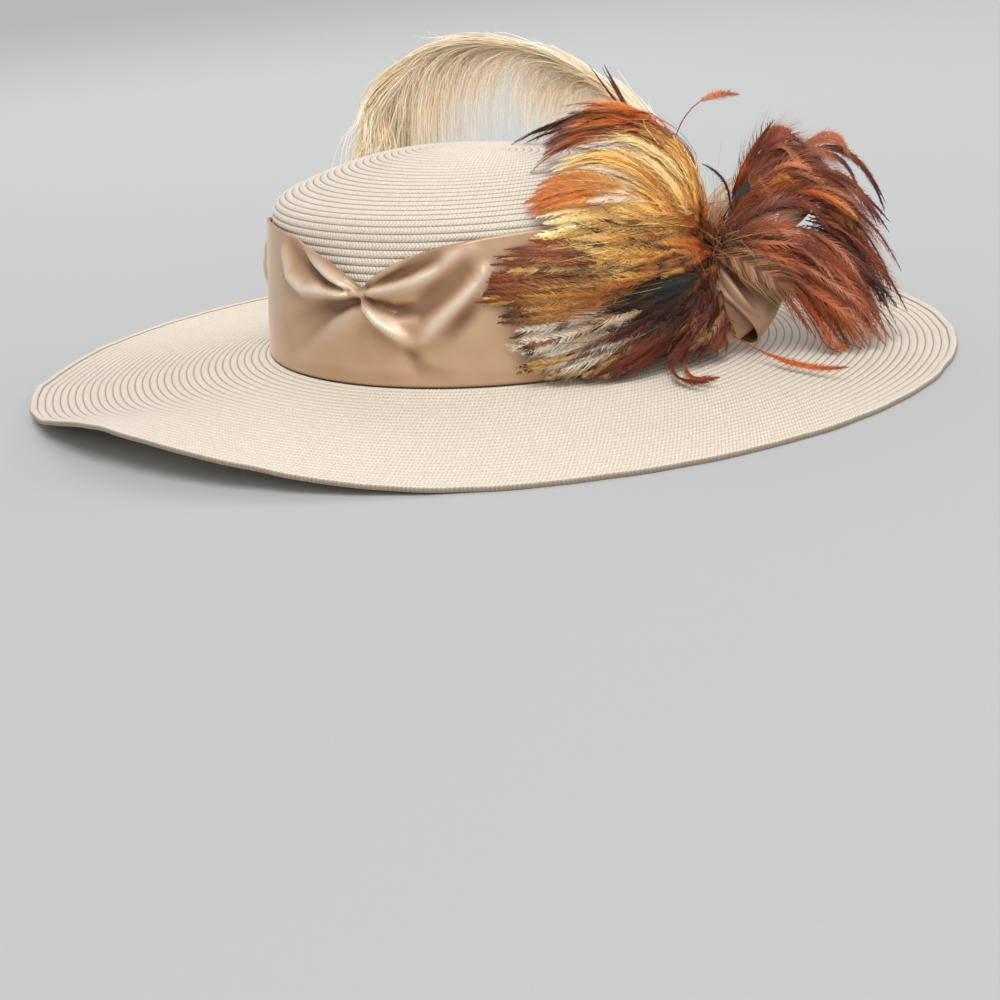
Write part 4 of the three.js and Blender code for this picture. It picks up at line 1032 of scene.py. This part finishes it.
# sickle feathers that arch over the bow and droop at its right
sickles = (
    ((11, 8, 8), (32, 27, 66), (46, 30, 34), 6, "rust", 0.35, 40, 0.26),
    ((38, 16, 23), (86, 32, 48), (99, 36, 25), 6, "copper", 0.3, 44, 0.26),
    ((50, 18, 24), (100, 34, 44), (112, 42, -5), 7, "darkRust", 0.3, 44, 0.28),
    ((60, 24, 23), (103, 33, 12), (91, 42, -19), 7, "copper", 0.3, 44, 0.28),
    ((40, 22, 20), (84, 36, 30), (104, 44, -8), 7, "darkRust", 0.3, 44, 0.28),
)
sprays = [sprayFeathers(*batch) for batch in coqueSet["batches"]]
sprays += [singleFeather(*single) for single in singles]
wisp = ((6, -22, 50), (-2, -24, 60), (-11, -28, 78), 3.2, "darkRust", 0.3, 16, 0.14)
sprays += [singleFeather(*copy) for copy in strayCopies(wisp, 5, 3.0)]
sprays += [singleFeather(*copy) for sickle in sickles for copy in strayCopies(sickle, 4, 3.5)]
sprays += [knotFeathers(20, (12, 24), 7, "brown"), knotFeathers(9, (10, 22), 7, "ember"),
           knotFeathers(22, (10, 22), 7, "darkRust"), knotFeathers(4, (10, 20), 6, "amber"), knotHairs(420)]
addFeathers("coque_feathers", sprays, looseCoque, "coque_spray")


# ostrich plume: a thin rib with long soft barbs that comb along it and then droop

plumeSet = {
    "lift": 48 * mm, "count": 7200, "steps": 9, "clumps": 150,
    # angle, share of the crown's profile and share of the lift, along the rib
    "rib": ((30, 0.4, 0.12), (60, 0.5, 0.29), (88, 0.53, 0.7), (114, 0.54, 0.98), (134, 0.535, 0.96),
            (146, 0.5, 0.7), (151, 0.445, 0.29)),
    "length": 0.44, "reach": 18 * mm, "drop": 68 * mm, "strand": 0.26 * mm, "follow": 0.8, "flying": 0.012,
    "ribLength": 250 * mm, "hang": 8 * mm, "lowest": (54 * mm, 74 * mm), "arch": 2.5 * mm,
    "fray": 2.4 * mm, "wiggle": 0.6 * mm, "gap": 1.5 * mm,
    "cream": ("#FFF8E8", "#FFF0D6", "#FCE6C4", "#F4D8AC"),
}


def ribPoint(share):
    # a curve through the rib's places, each eased into the next by a cubic; past its end a
    # strand hangs straight down
    places = np.array(plumeSet["rib"], float)
    ends = np.vstack([2 * places[0] - places[1], places, 2 * places[-1] - places[-2]])
    along = share * (len(places) - 1)
    low = np.clip(along.astype(int), 0, len(places) - 2)
    t = np.minimum(along - low, 1)[..., None]
    past = (along - low)[..., None] - t
    a, b, c, d = (ends[low + i] for i in range(4))
    cubic = (c - a) * t + (2 * a - 5 * b + 4 * c - d) * t ** 2 + (3 * b - a - 3 * c + d) * t ** 3
    angle, run, lift = np.moveaxis(b + cubic / 2, -1, 0)
    return crownPoint(angle, run * crownRun, lift * plumeSet["lift"]) - plumeSet["hang"] * past * upward


def clearOfCrown(points, gap):
    # what lies inside the crown's oval is raised to its outside, and so rests on the straw
    ratio = np.hypot(points[..., 0] / hat["halfWidth"], points[..., 1] / hat["halfLength"])
    inset, height, _, _ = crownProfile(np.linspace(0, crownRun, 200))
    top = baseHeight + np.interp((1 - ratio) * hat["halfWidth"], inset, height) + gap
    raised = np.where(ratio < 1, np.maximum(points[..., 2], top), points[..., 2])
    return np.concatenate([points[..., :2], raised[..., None]], -1)


def makePlume():
    # a strand follows the rib for a while, parts from it sideways and falls as a power of the way,
    # 2.4; a clump's strands stay close together
    count, clumps = plumeSet["count"], plumeSet["clumps"]
    clump = rng.integers(0, clumps, count)
    clumpPlace = np.linspace(0.03, 0.97, clumps) + rng.normal(0, 0.01, clumps)
    place = np.clip(clumpPlace[clump] + rng.normal(0, 0.018, count), 0.0, 0.99)
    inward = (rng.random(clumps) < 0.5)[clump]
    size = (0.6 + 0.4 * softStep(clumpPlace, 0.1, 0.45))[clump] * rng.uniform(0.8, 1.1, count)
    t = evenly(plumeSet["steps"])
    length = plumeSet["length"] * size * rng.uniform(0.7, 1.2, clumps)[clump]
    length = (length * (1 - 0.4 * softStep(place, 0.55, 1)))[:, None]
    # each strand slows along the rib as it falls
    onward = length * np.sin(math.pi / 2 * t ** 0.9)
    root = ribPoint(place)[:, None]
    ahead = spread(ribPoint(place + 0.01)[:, None] - root)
    # it follows the rib's bend in part, and for the rest it flies on straight
    straight = root + ahead * (onward * plumeSet["ribLength"])[..., None]
    spine = plumeSet["follow"] * ribPoint(place[:, None] + onward) + (1 - plumeSet["follow"]) * straight
    outward = np.cross(spread(np.gradient(spine, axis=1)), upward)
    outward[..., 2] = 0
    outward = spread(outward + 1e-6) * np.where(inward, -1, 1)[:, None, None]
    # how deep a clump hangs differs, so that there are gaps below the arch
    deep = rng.uniform(0, 1, clumps)[clump] ** 1.1
    drop = plumeSet["drop"] * size * (0.1 + 0.95 * deep) * np.where(inward, 0.85, 1.2)
    drop = drop * rng.uniform(0.7, 1.1, count)
    drop = np.where(rng.random(count) < plumeSet["flying"], -0.25 * drop, drop)[:, None]
    out = plumeSet["reach"] * size * rng.uniform(0.3, 1.1, clumps)[clump] * np.where(inward, 0.8, 1.3)
    # near its foot the plume is narrow
    out = (out * (0.2 + 0.8 * softStep(place, 0.1, 0.5)))[:, None]
    fray = rng.normal(0, plumeSet["fray"], (count, 1, 3)) * t[:, None]
    rise = plumeSet["arch"] * np.sin(math.pi * t) - drop * t ** 2.4
    curve = spine + outward * (out * t ** 0.7)[..., None] + upward * rise[..., None] + fray
    # no strand ends lower than the upper half of the crown's side
    below = np.minimum(curve[..., 2] - root[..., 2], 0)
    allowed = root[:, 0, 2] - rng.uniform(*plumeSet["lowest"], count)
    share = np.minimum(1, allowed / np.maximum(-below.min(1), 1e-6))
    curve[..., 2] += below * (share[:, None] - 1)
    wiggle = rng.normal(0, plumeSet["wiggle"], (count, 1, 3))
    wiggle = wiggle * np.sin(t[:, None] * 7 + rng.uniform(0, 6, (count, 1, 1))) * t[:, None]
    return clearOfCrown(curve + wiggle, plumeSet["gap"])


# bleached ostrich barbs are soft and matt; light passes from one to the next, and this is painted light: the
# cream colour is lifted up to 1.3 times, past white
softPlume = featherMaterial("bleached ostrich barb", 0.6, 0.6, 0.98, 1.3)
strands = makePlume()
facing = upward + rng.normal(0, 0.35, (len(strands), 1, 3))
plumeTints = pickTints(plumeSet["cream"], len(strands), 0.94, 1.08)
plume = strandRibbons(strands, plumeSet["strand"], plumeTints, facing)
addFeathers("cream_plume", [plume], softPlume, "ostrich_plume")
print("feathers made")


# floor and light: a pale flat floor of matt paper, whose fine grain hardly shows, a wide soft lamp at
# the upper left and weaker ones round it

stageSet = {
    "floor": "#BABCBC", "grain": "#BEC0C0", "half": 9, "sky": 0.5, "skyTint": "#F2F2F1", "aim": (0, 0, 0.06),
    # kind, place, size in metres or in degrees for the sun, power
    "lamps": {
        "overhead": ("SUN", (-0.45, -0.35, 1.0), 34, 1.75),
        "front": ("AREA", (-1.0, -1.5, 0.9), 0.9, 7),
        "back": ("AREA", (0.7, 1.1, 1.2), 0.9, 6),
        "right": ("AREA", (1.3, -0.8, 0.8), 0.8, 4),
    },
}
floorMaterial, floorTree, floorShader = newMaterial("matt studio paper", {"Roughness": 0.9})
paper = addNode(floorTree, "TexCoord")
grain = addNode(floorTree, "TexNoise", {"Vector": paper.outputs["Object"], "Scale": 900.0, "Detail": 2.0})
paperTint = addNode(floorTree, "Mix", {0: grain, 6: stageSet["floor"], 7: stageSet["grain"]},
                    data_type="RGBA")
floorTree.links.new(paperTint.outputs[2], floorShader.inputs["Base Color"])
floorMesh = bpy.data.meshes.new("floor")
half = stageSet["half"]
floorCorners = ((-half, -half, 0), (half, -half, 0), (half, half, 0), (-half, half, 0))
floorMesh.from_pydata(floorCorners, [], [(0, 1, 2, 3)])
floorMesh.materials.append(floorMaterial)
floor = addObject("floor", floorMesh)

for lampName, (kind, place, size, power) in stageSet["lamps"].items():
    lamp = addObject(lampName, bpy.data.lights.new(lampName, kind))
    if kind == "SUN":
        lamp.data.angle = math.radians(size)
    else:
        lamp.data.size = size
    lamp.data.energy = power
    aiming = (Vector(stageSet["aim"]) - Vector(place)).to_track_quat("-Z", "Y")
    lamp.matrix_world = Matrix.Translation(place) @ aiming.to_matrix().to_4x4()
world = bpy.data.worlds.new("studio")
world.use_nodes = True
background = world.node_tree.nodes["Background"]
background.inputs["Color"].default_value = linearColour(stageSet["skyTint"])
background.inputs["Strength"].default_value = stageSet["sky"]
bpy.context.scene.world = world
bpy.context.scene.view_settings.view_transform = "Standard"
print("stage set")
